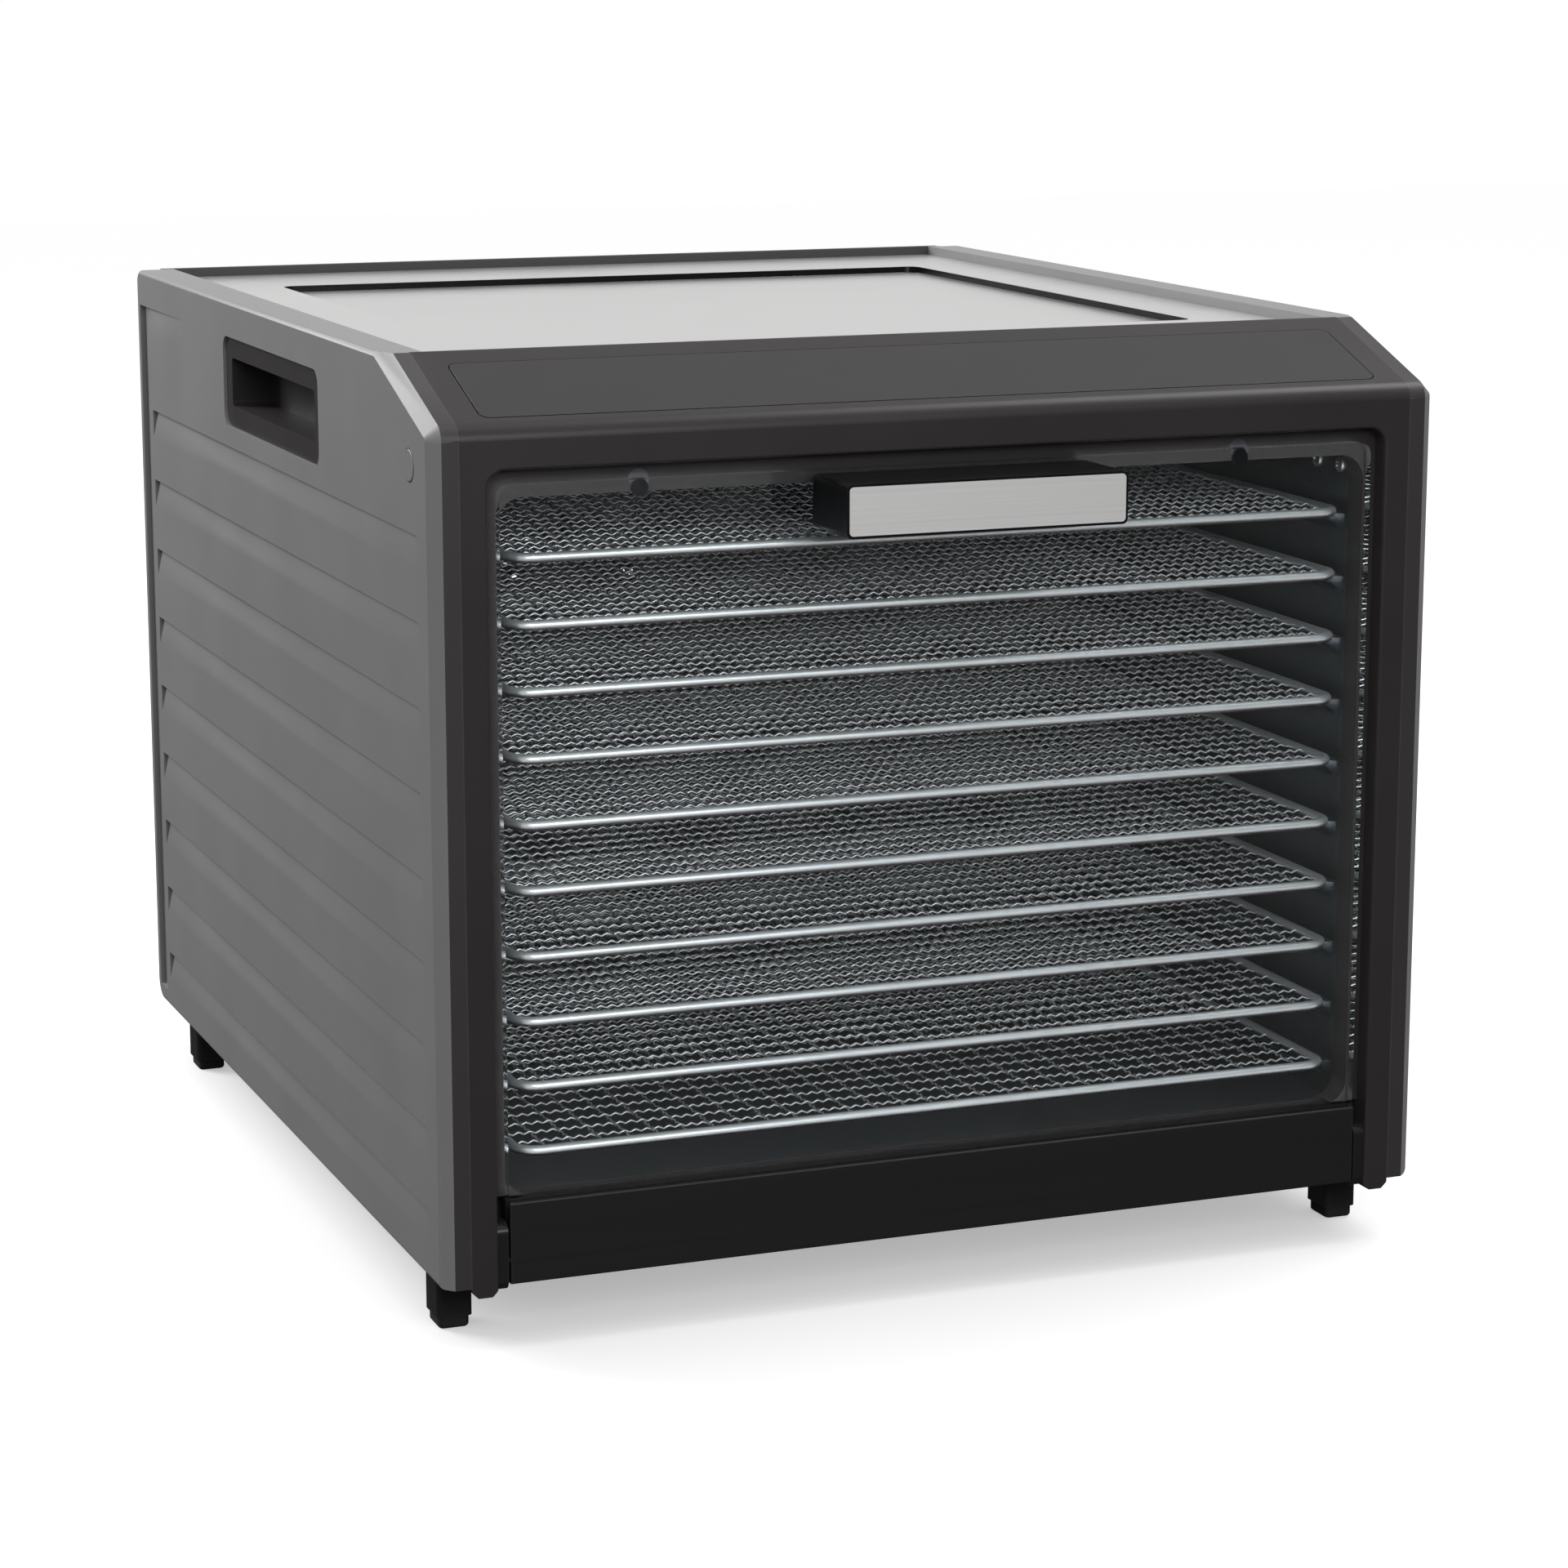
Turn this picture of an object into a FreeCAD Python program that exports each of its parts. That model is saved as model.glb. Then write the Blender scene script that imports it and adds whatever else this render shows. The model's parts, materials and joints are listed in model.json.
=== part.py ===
"""Ten-tray food dehydrator: a box oven with a rear fan and heater and a drop-down glass door.

Millimetres, +Z up, the door faces -Y, and the origin is the centre of the footprint on the counter.
Every piece is drawn in a shop frame: x from the middle, y back from the front face of the columns,
z up from the lower edge of the side panels. write() moves it to the origin and saves it.
"""
import FreeCAD, Part
import math
import os

V = FreeCAD.Vector

# ---- overall sizes ----
body_width = 420.0
body_depth = 482.0
body_height = 352.0         # side panels, without the feet
foot_height = 27.0

# ---- cabinet shell ----
panel_front = 11.6          # width of a side panel seen from the front
panel_wall = 3.4            # its outer wall
panel_flange = 4.0          # its bottom and rear flanges
panel_front_wall = 2.5      # behind the bevel
panel_shoulder_wall = 10.0  # under the shoulder
panel_rim = 16.8            # width of the rim along its top
panel_bevel = 4.9
panel_bottom_radius = 10.0
panel_rear_chamfer = 6.0
panel_top_round = 2.0
rim_height = 4.0            # how far the top cover lies below the rims
top_sheet = 1.2
top_recess = 3.0
top_recess_side = 35.0      # from the top cover's side to the recess
top_recess_rear = 66.0
top_recess_front = 49.0
top_recess_radius = 6.0
rear_sheet = 4.0
pan_sheet = 2.0
pan_flange = 12.0
rear_trim = 2.0             # how far the inlet flange and the screws stand out behind

# ---- laps moulded in the side panels ----
lap_count = 9
lap_top_margin = 63.4       # from the top of the body to the highest lap's upper edge
lap_low = 27.8              # upper edge of the lowest lap
lap_height = 12.3
lap_rear_depth = 2.3
lap_front_depth = 0.8
lap_front = 18.0
lap_rear_margin = 27.0      # from the rear edge of the body
groove_margin = 6.0         # the upright groove beside the rear edge
groove_width = 14.0
groove_depth = 2.4
groove_bottom = 7.5
groove_top_margin = 16.0
ledge_length = 65.0         # the short ledge in front of the groove's upper end
ledge_depth = 1.6
ledge_end_depth = 0.1

# ---- carrying pockets and screw caps in the side panels ----
pocket_length = 157.0
pocket_height = 38.0
pocket_front = 156.0
pocket_top_margin = 16.0
pocket_mouth_length = 138.0
pocket_mouth_height = 21.0
mouth_radius = 2.4
pocket_sink = 1.4           # its rim lies this far below the panel
pocket_rim = 2.0
pocket_wall = 1.6
pocket_depth = 21.0
pocket_radius = 6.0
pocket_gap = 0.5
pocket_lip = 3.0            # the lip that snaps behind the panel
cap_radius = 6.2
cap_gap = 0.3
cap_round = 0.5
cap_y = 25.8
cap_top_margin = 38.0
cap_thickness = 1.9
cap_seat = 1.6

# ---- front frame ----
column_width = 10.7         # of a column's face, from the side panel to the door opening
column_depth = 20.0
column_drop = 4.2           # columns reach below the side panels
column_chamfer = 2.5
opening_top_margin = 38.4   # from the top of the body to the opening
opening_radius = 7.0
opening_edge_round = 1.2
header_height = 10.0        # of the part above the opening that joins columns and bar
lip_reach = 5.7             # how far the inner lip stands into the opening
lip_glass_gap = 1.1         # behind the closed door's glass
lip_top_drop = 11.1
lip_floor_step = 1.5        # from the chamber's floor up to the lip's lower edge
lip_radius = 10.0
sill_gap = 3.5              # from the closed door's rail to the sill
sill_bottom = 4.0
bar_back = 64.5
bar_top_y = 62.0            # where the slope reaches the top
bar_slope_drop = 22.3       # how far the slope falls from there to the front
bar_wall = 4.5
bar_nose_round = 7.0
bar_rear_drop = 9.0
rim_wall = 1.0              # under the rims of the side panels

# ---- control panel, in the slope ----
control_side = 11.4         # from the cabinet's inner side to the panel's end
control_width = 46.5
control_start = 8.6         # up the slope from its sharp lower corner
control_thickness = 1.6
control_seat = 1.5
control_radius = 4.0
control_gap = 0.5
board_length = 230.0
board_width = 36.0
board_thickness = 1.6
window_length = 210.0
window_width = 30.0
display_length = 96.0
display_width = 22.0

# ---- liner: the sheet-metal drying chamber ----
liner_side_step = 1.0       # from the lip's edge out to the liner's side
liner_sheet = 1.0
liner_floor_z = 31.0
liner_roof_step = 2.5       # from the lip's upper edge to the ceiling
liner_flange = 11.0
baffle_margin = 96.0        # from the rear of the body to the baffle
baffle_slot_width = 5.0
baffle_inner_ring = (28.0, 60.0, 16)        # inner radius, outer radius and number of slots
baffle_outer_start = 70.0
baffle_outer_slots = 28
baffle_edge = 21.0          # from the outer ring of slots to the floor and ceiling
liner_screw_drop = 9.0      # below the ceiling
liner_screw_steps = (8.7, 27.8)             # behind the columns

# ---- trays ----
tray_count = 10
tray_roof_gap = 26.3        # from the ceiling to the middle of the highest tray
tray_floor_gap = 17.3       # from the chamber's floor to the middle of the lowest tray
tray_side_gap = 6.4
tray_front = 11.6
tray_rear_gap = 6.0
tray_rod = 4.0
tray_mesh = 1.6
tray_cells = 12
tray_bar = 1.6
runner_reach = 10.0         # how far a runner stands out of the liner wall
runner_height = 9.5
runner_nose = 2.5
runner_front_gap = 4.0
runner_clearance = 0.1

# ---- door ----
glass_side_gap = 5.2        # from the glass to the side of the opening
glass_front = 2.4
glass_thickness = 5.0
glass_top_gap = 5.8         # from the glass to the top of the opening
glass_radius = 5.0
glass_seat = 12.0           # how far the glass goes down into the rail
rail_side_gap = 5.4
rail_front_wall = 1.2       # in front of the glass
rail_back_wall = 6.6        # behind the glass
rail_top_gap = 0.5          # below the lip's lower edge
rail_bottom = -0.5
rail_chamfer = 3.0
rail_round = 0.8
hinge_depth = 6.0           # from the rail's back to the hinge line
hinge_z = 7.0
pin_radius = 2.5
pin_clearance = 0.05
pin_grip = 10.0             # how far a pin goes into the rail
block_gap = 0.9             # between the rail's end and the hinge block
block_front_step = 0.3      # behind the rail's front
block_back_step = 1.0       # behind the rail's back
block_bottom = -3.0
block_top = 24.0
block_round = 4.5
block_back_round = 1.0
pin_end_gap = 0.3           # from a pin's outer end to the column

# ---- door handle ----
handle_length = 116.0
handle_height = 20.5
handle_reach = 35.0         # in front of the glass
handle_top_gap = 1.3        # below the glass's upper edge
handle_radius = 2.2
plate_border = 1.0
plate_seat = 1.2
plate_thickness = 1.4
plate_radius = 1.6
handle_screw_x = 40.0
handle_screw_radius = 2.0
screw_head_radius = 4.0
screw_head_height = 2.0
glass_hole_clearance = 0.3
handle_thread = 12.0

# ---- door magnets ----
magnet_side = 61.7          # from the side of the opening to a magnet's middle
magnet_radius = 4.0
magnet_length = 8.0
magnet_drop = 6.6           # below the opening's top
strike_radius = 3.4
strike_thickness = 0.9
strike_edge = 0.4           # below the glass's upper edge

# ---- fan, motor and heater ----
fan_radius = 78.0
fan_gap = 24.0              # from the baffle to the fan
fan_width = 24.0
fan_blades = 7
blade_thickness = 1.6
blade_pitch = 32.0
blade_root = 3.0            # how far a blade runs into the hub
blade_end = 1.0             # from a blade's edges to the hub's ends
hub_radius = 15.0
hub_round = 2.5
shaft_radius = 3.0
shaft_clearance = 0.05
rotor_clearance = 0.6       # round the shaft inside the motor
motor_radius = 36.0
motor_length = 29.0
motor_round = 3.0
motor_rear_wall = 1.5       # left where the shaft's bore ends; the bearing's seat goes through
motor_boss_radius = 12.0
bearing_radius = 7.0
bearing_length = 5.0
bracket_gap = 6.0           # from the fan to the motor's bracket
bracket_sheet = 2.5
bracket_end = 10.0          # beyond the middle of a post
bracket_width = 46.0
bracket_radius = 5.0
post_radius = 4.0
post_space = 17.0           # from the heater ring's middle line to a post's middle
shaft_end = 1.0             # of the shaft in front of the nut, and of the motor's wall behind it
nut_across = 10.0
nut_height = 5.0
heater_space = 20.0         # from the fan's tip to the heater ring's middle line
heater_tube = 3.3
heater_gap = 14.0           # from the baffle to the ring's middle line
heater_gap_angle = 24.0
heater_leg = 34.0
clip_width = 8.0
clip_sheet = 1.5
clip_gap = 0.1
cutout_radius = 8.0
cutout_height = 9.0
cutout_drop = 24.0          # below the ceiling
cutout_ear = 5.0
cutout_ear_sheet = 1.2
cutout_tag = 6.0

# ---- rear openings, inlet and fasteners ----
grille_rows = 11
grille_pitch = 9.0
grille_radius = 62.0
grille_slot = 4.0
inlet_side = 48.4           # from the cabinet's inner side to the inlet's middle
inlet_z = 16.0
inlet_length = 30.0
inlet_height = 22.0
inlet_depth = 26.0
inlet_flange = 3.0
inlet_flange_radius = 2.0
inlet_gap = 0.5             # round its body in the rear cover's hole
socket_length = 23.0
socket_height = 15.0
socket_depth = 16.0
socket_radius = 2.5
prong_radius = 1.2
prong_spacing = 7.0
prong_rise = 1.5            # of the middle prong, and how far the outer two lie lower
prong_root = 1.0            # in the socket's floor
prong_tip = 1.0             # below the rear cover's face
small_screw_radius = 1.6
small_head_radius = 3.4
small_head_height = 1.5
small_head_round = 0.9
rear_screw_side = 12.0      # from the rear cover's edge
stand_radius = 5.0
stand_side = 30.0

# ---- feet ----
foot_side = 14.5            # from the body's side to a foot's middle
foot_width = 14.5
foot_length = 17.5
foot_front_y = 33.0
foot_rear_margin = 48.0     # from the rear of the body to a rear foot
foot_radius = 2.5
pad_height = 5.0
pad_inset = 1.0
pad_round = 1.5

# ---- worked out from the sizes above ----
half_width = body_width / 2.0
inside_half = half_width - panel_front      # the cabinet between the side panels
rim_inner = half_width - panel_rim
lap_top = body_height - lap_top_margin
lap_pitch = (lap_top - lap_low) / (lap_count - 1)

glass_back = glass_front + glass_thickness
rail_front = glass_front - rail_front_wall
rail_back = glass_back + rail_back_wall
hinge_y = rail_back - hinge_depth
handle_front = glass_front - handle_reach

column_inner = inside_half - column_width   # half of the door opening
opening_top = body_height - opening_top_margin
lip_inner = column_inner - lip_reach
lip_front = glass_back + lip_glass_gap
lip_top = opening_top - lip_top_drop
lip_bottom = liner_floor_z + lip_floor_step
sill_front = rail_back + sill_gap
glass_half = column_inner - glass_side_gap
glass_top = opening_top - glass_top_gap
rail_half = column_inner - rail_side_gap
rail_top = lip_bottom - rail_top_gap
magnet_x = column_inner - magnet_side
control_length = 2.0 * (inside_half - control_side)
slope_angle = math.degrees(math.atan2(bar_slope_drop, bar_top_y))

liner_inner = lip_inner + liner_side_step   # half of the chamber's width
liner_roof_z = lip_top + liner_roof_step
chamber_half = (liner_roof_z - liner_floor_z) / 2.0
chamber_mid_z = liner_floor_z + chamber_half
baffle_y = body_depth - baffle_margin
baffle_rings = [baffle_inner_ring, (baffle_outer_start, chamber_half - baffle_edge, baffle_outer_slots)]
tray_half = liner_inner - tray_side_gap
tray_rear = baffle_y - tray_rear_gap
highest_tray = liner_roof_z - tray_roof_gap
tray_pitch = (highest_tray - liner_floor_z - tray_floor_gap) / (tray_count - 1)

rear_face = body_depth - rear_sheet         # inner side of the rear cover
fan_front = baffle_y + fan_gap
bracket_y = fan_front + fan_width + bracket_gap
heater_radius = fan_radius + heater_space
heater_y = baffle_y + heater_gap
post_x = heater_radius + post_space
bracket_length = 2.0 * (post_x + bracket_end)
cutout_x = heater_radius
inlet_x = inside_half - inlet_side
foot_x = half_width - foot_side
foot_rear_y = body_depth - foot_rear_margin
face_y = (-handle_front - body_depth - rear_trim) / 2.0
past = 1.0                                  # how far a cutting solid runs past the face it cuts
bite = 0.5                                  # how far joined blocks run into each other


# ---- helpers ----
def box(x0, x1, y0, y1, z0, z1):
    return Part.makeBox(x1 - x0, y1 - y0, z1 - z0, V(x0, y0, z0))


def rod(radius, start, end):
    """A round bar from one point to another."""
    run = V(*end) - V(*start)
    return Part.makeCylinder(radius, run.Length, V(*start), run)


def place(axis, a, b, level):
    """The 3D point of a flat outline's point: the outline lies square to the axis."""
    if axis == "x":
        return V(level, a, b)
    if axis == "y":
        return V(a, level, b)
    return V(a, b, level)


def outline(points, radius, axis, level):
    """A closed outline with rounded corners. radius is one number or one for each point."""
    count = len(points)
    radii = radius if isinstance(radius, list) else [radius] * count
    edges = []
    last = first = None
    for i in range(count):
        corner = place(axis, *points[i], level)
        before = (place(axis, *points[i - 1], level) - corner).normalize()
        after = (place(axis, *points[(i + 1) % count], level) - corner).normalize()
        if radii[i] > 0:
            half = before.getAngle(after) / 2.0
            run = radii[i] / math.tan(half)
            middle = (before + after).normalize()
            centre = corner + middle * (radii[i] / math.sin(half))
            begin = corner + before * run
            finish = corner + after * run
            arc = Part.Arc(begin, centre - middle * radii[i], finish).toShape()
        else:
            begin = finish = corner
            arc = None
        if last is not None:
            edges.append(Part.LineSegment(last, begin).toShape())
        else:
            first = begin
        if arc is not None:
            edges.append(arc)
        last = finish
    edges.append(Part.LineSegment(last, first).toShape())
    return Part.Wire(edges)


def prism(points, axis, start, end, radius=0.0):
    """A solid with a flat outline, square to the axis, from start to end along it."""
    face = Part.Face(outline(points, radius, axis, start))
    return face.extrude(place(axis, 0.0, 0.0, end - start))


def rectangle(a0, a1, b0, b1):
    return [(a0, b0), (a1, b0), (a1, b1), (a0, b1)]


def mirrored(shape):
    return shape.mirror(V(0, 0, 0), V(1, 0, 0))


def both_sides(shape):
    return [shape, mirrored(shape)]


def on_slope(shape):
    """Turn a piece drawn flat (y up the slope, z out of it) onto the control slope."""
    turned = shape.copy()
    turned.rotate(V(0, 0, 0), V(1, 0, 0), slope_angle)
    turned.translate(V(0, 0, body_height - bar_slope_drop))
    return turned


def round_edges(solid, size, wanted):
    """Fillet the edges that the test picks."""
    edges = [edge for edge in solid.Edges if wanted(edge)]
    return solid.makeFillet(size, edges)


def write(name, *shapes):
    solids = []
    for shape in shapes:
        for solid in shape.Solids:
            moved = solid.copy()
            moved.translate(V(0, face_y, foot_height))
            solids.append(moved)
    result = solids[0] if len(solids) == 1 else Part.makeCompound(solids)
    result.exportStep(os.path.join("parts", name + ".step"))


# ---- cabinet shell ----
def panel_outline():
    """Side view of a side panel: upright front, sloped shoulder, level top."""
    low = body_height - bar_slope_drop
    return [(0.0, 0.0), (0.0, low), (bar_top_y, body_height), (body_depth, body_height), (body_depth, 0.0)]


def lap_cut(top, rear, front, rear_depth, front_depth, height):
    """A wedge that leaves a ledge above and runs out to the panel's face below."""
    wires = []
    for y, depth in ((rear, rear_depth), (front, front_depth)):
        corners = [(-half_width - past, top), (-half_width + depth, top),
                   (-half_width, top - height), (-half_width - past, top - height)]
        wires.append(outline(corners, 0.0, "y", y))
    return Part.makeLoft(wires, True, True)


def left_panel():
    corners = panel_outline()
    radii = [0.0, bar_nose_round, 0.0, panel_rear_chamfer, panel_bottom_radius]
    body = prism(corners, "x", -half_width, -inside_half, radii)

    def on_outer_face(edge):
        return all(abs(v.X + half_width) < 0.01 for v in edge.Vertexes)

    def at_front(edge):
        return on_outer_face(edge) and edge.CenterOfMass.y < bar_top_y - 0.5

    def at_top(edge):
        box_ = edge.BoundBox
        return on_outer_face(edge) and box_.ZMin > body_height - 0.01 and box_.YLength > bar_top_y

    body = body.makeChamfer(panel_bevel, [edge for edge in body.Edges if at_front(edge)])
    body = round_edges(body, panel_top_round, at_top)
    front = panel_bevel + panel_front_wall
    shoulder = body_height - bar_slope_drop - panel_shoulder_wall
    under_rim = body_height - bar_rear_drop - rim_wall
    rear = body_depth - panel_flange
    hollow = [(front, panel_flange), (front, shoulder), (bar_top_y, under_rim), (rear, under_rim),
              (rear, panel_flange)]
    body = body.cut(prism(hollow, "x", -half_width + panel_wall, -inside_half + past,
                          [0.0, 0.0, 0.0, 0.0, panel_bottom_radius - panel_flange]))
    rim = box(-inside_half - past, -rim_inner, bar_back, rear_face,
              body_height - bar_rear_drop, body_height)
    body = body.fuse(rim).removeSplitter()

    cuts = []
    for row in range(lap_count):
        cuts.append(lap_cut(lap_top - row * lap_pitch, body_depth - lap_rear_margin, lap_front,
                            lap_rear_depth, lap_front_depth, lap_height))
    groove_top = body_height - groove_top_margin
    cuts.append(lap_cut(groove_top, body_depth - groove_margin - groove_width / 2.0,
                        body_depth - lap_rear_margin - ledge_length, ledge_depth, ledge_end_depth,
                        lap_height))
    cuts.append(box(-half_width - past, -half_width + groove_depth,
                    body_depth - groove_margin - groove_width, body_depth - groove_margin,
                    groove_bottom, groove_top))
    cuts.append(prism(pocket_rectangle(pocket_gap), "x", -half_width - past, -half_width + panel_wall + past,
                      pocket_radius + pocket_gap))
    cuts.append(rod(cap_radius + cap_gap, (-half_width - past, cap_y, body_height - cap_top_margin),
                    (-half_width + cap_seat, cap_y, body_height - cap_top_margin)))
    return body.cut(cuts)


def pocket_rectangle(grow):
    top = body_height - pocket_top_margin
    return rectangle(pocket_front - grow, pocket_front + pocket_length + grow,
                     top - pocket_height - grow, top + grow)


def mouth_rectangle(grow):
    mid_y = pocket_front + pocket_length / 2.0
    mid_z = body_height - pocket_top_margin - pocket_height / 2.0
    return rectangle(mid_y - pocket_mouth_length / 2.0 - grow, mid_y + pocket_mouth_length / 2.0 + grow,
                     mid_z - pocket_mouth_height / 2.0 - grow, mid_z + pocket_mouth_height / 2.0 + grow)


def left_pocket():
    """A moulded cup: a rim in the panel's opening, a lip behind the panel and the finger hollow."""
    rim_x = -half_width + pocket_sink
    lip_x = -half_width + panel_wall
    bottom_x = -half_width + pocket_depth
    rim = prism(pocket_rectangle(0.0), "x", rim_x, lip_x + pocket_rim, pocket_radius)
    lip = prism(pocket_rectangle(pocket_lip), "x", lip_x, lip_x + pocket_rim, pocket_radius)
    cup = prism(mouth_rectangle(pocket_wall), "x", rim_x, bottom_x, mouth_radius + pocket_wall)
    hollow = prism(mouth_rectangle(0.0), "x", rim_x - past, bottom_x - pocket_wall, mouth_radius)
    return rim.fuse([lip, cup]).cut(hollow)


def left_cap():
    z = body_height - cap_top_margin
    inner = -half_width + cap_seat
    disc = rod(cap_radius, (inner, cap_y, z), (inner - cap_thickness, cap_y, z))
    return round_edges(disc, cap_round, lambda edge: edge.BoundBox.XMax < inner - cap_thickness + 0.01)


def top_cover():
    """A pressed sheet with a shallow recess."""
    top = body_height - rim_height
    sides = (-rim_inner + top_recess_side, rim_inner - top_recess_side)
    ends = (bar_back + top_recess_front, rear_face - top_recess_rear)
    sheet = box(-rim_inner, rim_inner, bar_back, rear_face, top - top_sheet, top)
    around = rectangle(sides[0] - top_sheet, sides[1] + top_sheet, ends[0] - top_sheet, ends[1] + top_sheet)
    tub = prism(around, "z", top - top_recess - top_sheet, top, top_recess_radius + top_sheet)
    recess = prism(rectangle(sides[0], sides[1], ends[0], ends[1]), "z", top - top_recess, top + past,
                   top_recess_radius)
    return sheet.fuse(tub).cut(recess)


def rear_screw_points():
    """Four corners and the middle of each side of the rear cover."""
    x = inside_half - rear_screw_side
    low = rear_screw_side
    high = body_height - bar_rear_drop - rear_screw_side
    mid = (low + high) / 2.0
    return [(-x, low), (x, low), (-x, high), (x, high), (-x, mid), (x, mid), (0.0, low), (0.0, high)]


def grille_slots(y0, y1):
    """Level slots that fill a circle in front of the motor."""
    slots = []
    for row in range(grille_rows):
        z = (row - (grille_rows - 1) / 2.0) * grille_pitch
        half = math.sqrt(grille_radius ** 2 - z ** 2)
        centre = chamber_mid_z + z
        outline_points = rectangle(-half, half, centre - grille_slot / 2.0, centre + grille_slot / 2.0)
        slots.append(prism(outline_points, "y", y0, y1, grille_slot / 2.0 - 0.01))
    return slots


def rear_cover():
    sheet = box(-inside_half, inside_half, rear_face, body_depth, 0.0, body_height)
    cuts = grille_slots(rear_face - past, body_depth + past)
    cuts.append(box(inlet_x - inlet_length / 2.0, inlet_x + inlet_length / 2.0, rear_face - past,
                    body_depth + past, inlet_z - inlet_height / 2.0, inlet_z + inlet_height / 2.0))
    for x, z in rear_screw_points():
        cuts.append(rod(small_screw_radius, (x, rear_face - past, z), (x, body_depth + past, z)))
    return sheet.cut(cuts)


def rear_screws():
    screws = []
    for x, z in rear_screw_points():
        shank = rod(small_screw_radius, (x, rear_face, z), (x, body_depth, z))
        head = rod(small_head_radius, (x, body_depth, z), (x, body_depth + small_head_height, z))
        screws.append(shank.fuse(head))
    return screws


def base_pan():
    floor = box(-inside_half, inside_half, column_depth, rear_face, 0.0, pan_sheet)
    flange_top = pan_sheet + pan_flange
    for side in (-1.0, 1.0):
        edges = sorted((side * inside_half, side * (inside_half - pan_sheet)))
        floor = floor.fuse(box(edges[0], edges[1], column_depth, rear_face, 0.0, flange_top))
    return floor.removeSplitter()


# ---- front frame and controls ----
def front_frame():
    """One moulding: two columns, the sloped top bar, the inner lip and the sill."""
    low = body_height - bar_slope_drop
    high = opening_top + header_height
    foot_z = -column_drop
    column = prism([(-inside_half, high), (-inside_half, foot_z + column_chamfer),
                    (-inside_half + column_chamfer, foot_z), (-column_inner - column_chamfer, foot_z),
                    (-column_inner, foot_z + column_chamfer), (-column_inner, high)],
                   "y", 0.0, column_depth)
    opening = prism(rectangle(-column_inner, column_inner, 0.0, opening_top), "y", -past,
                    column_depth + past, [0.0, 0.0, opening_radius, opening_radius])
    header = box(-inside_half, inside_half, 0.0, column_depth, high - 3.0 * header_height, high).cut(opening)
    bar = prism([(0.0, opening_top), (0.0, low), (bar_top_y, body_height), (bar_back, body_height),
                 (bar_back, opening_top)], "x", -inside_half, inside_half,
                [0.0, bar_nose_round, 0.0, 0.0, 0.0])
    slope = math.tan(math.radians(slope_angle))
    inner_low = low - bar_wall / math.cos(math.radians(slope_angle))
    floor = opening_top + bar_wall
    cavity = prism([(bar_wall, floor), (bar_wall, inner_low + bar_wall * slope),
                    (bar_back - past, inner_low + (bar_back - past) * slope),
                    (bar_back + past, body_height - bar_rear_drop), (bar_back + past, floor)],
                   "x", -inside_half + bar_wall, inside_half - bar_wall)
    under = box(-inside_half, inside_half, column_depth, bar_back + past, opening_top - past, floor)
    frame = column.fuse([mirrored(column), header, bar]).cut([cavity, under]).removeSplitter()

    def opening_edge(edge):
        bound = edge.BoundBox
        inside = bound.XMin > -column_inner - 0.01 and bound.XMax < column_inner + 0.01
        return inside and bound.YMax < 0.01 and lip_bottom < bound.ZMax < opening_top + 0.01

    frame = round_edges(frame, opening_edge_round, opening_edge)

    lip_opening = rectangle(-lip_inner, lip_inner, lip_bottom, lip_top)
    across = column_inner + bite
    low_edge = lip_bottom + bite
    lip = box(-across, across, lip_front, column_depth, low_edge, opening_top + bite)
    sill = box(-across, across, sill_front, column_depth, sill_bottom, low_edge)
    ring = lip.fuse(sill).cut(prism(lip_opening, "y", 0.0, column_depth + past, lip_radius))
    frame = frame.fuse(ring)

    half = control_length / 2.0 + control_gap
    around = rectangle(-half, half, control_start - control_gap, control_start + control_width + control_gap)
    seat = on_slope(prism(around, "z", -control_seat, bar_wall, control_radius + control_gap))
    mid = control_start + control_width / 2.0
    window = on_slope(box(-window_length / 2.0, window_length / 2.0, mid - window_width / 2.0,
                          mid + window_width / 2.0, -bar_wall - past, 0.0))
    cuts = [seat, window]
    for side in (-1.0, 1.0):
        cuts.append(rod(magnet_radius, (side * magnet_x, lip_front - past, opening_top - magnet_drop),
                        (side * magnet_x, lip_front + magnet_length, opening_top - magnet_drop)))
    return frame.cut(cuts)


def control_panel():
    plate = prism(rectangle(-control_length / 2.0, control_length / 2.0, control_start,
                            control_start + control_width),
                  "z", -control_seat, control_thickness - control_seat, control_radius)
    return on_slope(plate)


def control_board():
    mid = control_start + control_width / 2.0
    return on_slope(box(-board_length / 2.0, board_length / 2.0, mid - board_width / 2.0,
                        mid + board_width / 2.0, -bar_wall - board_thickness, -bar_wall))


def display_module():
    mid = control_start + control_width / 2.0
    return on_slope(box(-display_length / 2.0, display_length / 2.0, mid - display_width / 2.0,
                        mid + display_width / 2.0, -bar_wall, -control_seat))


def magnet_catches():
    z = opening_top - magnet_drop
    back = lip_front + magnet_length
    return both_sides(rod(magnet_radius, (-magnet_x, lip_front, z), (-magnet_x, back, z)))


# ---- liner ----
def tray_level(number):
    """Height of the middle of a tray's rods; tray 0 is the highest."""
    return highest_tray - number * tray_pitch


def runner_section(number, inset):
    """Cross-section of a pressed runner; inset gives the hollow behind it."""
    top = tray_level(number) - tray_rod / 2.0 - runner_clearance - inset
    nose = -liner_inner + runner_reach - inset
    root = -liner_inner - inset
    low = tray_level(number) - tray_rod / 2.0 - runner_clearance - runner_height + inset
    return [(root, top), (nose, top), (nose, top - runner_nose + inset), (root, low)]


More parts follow.
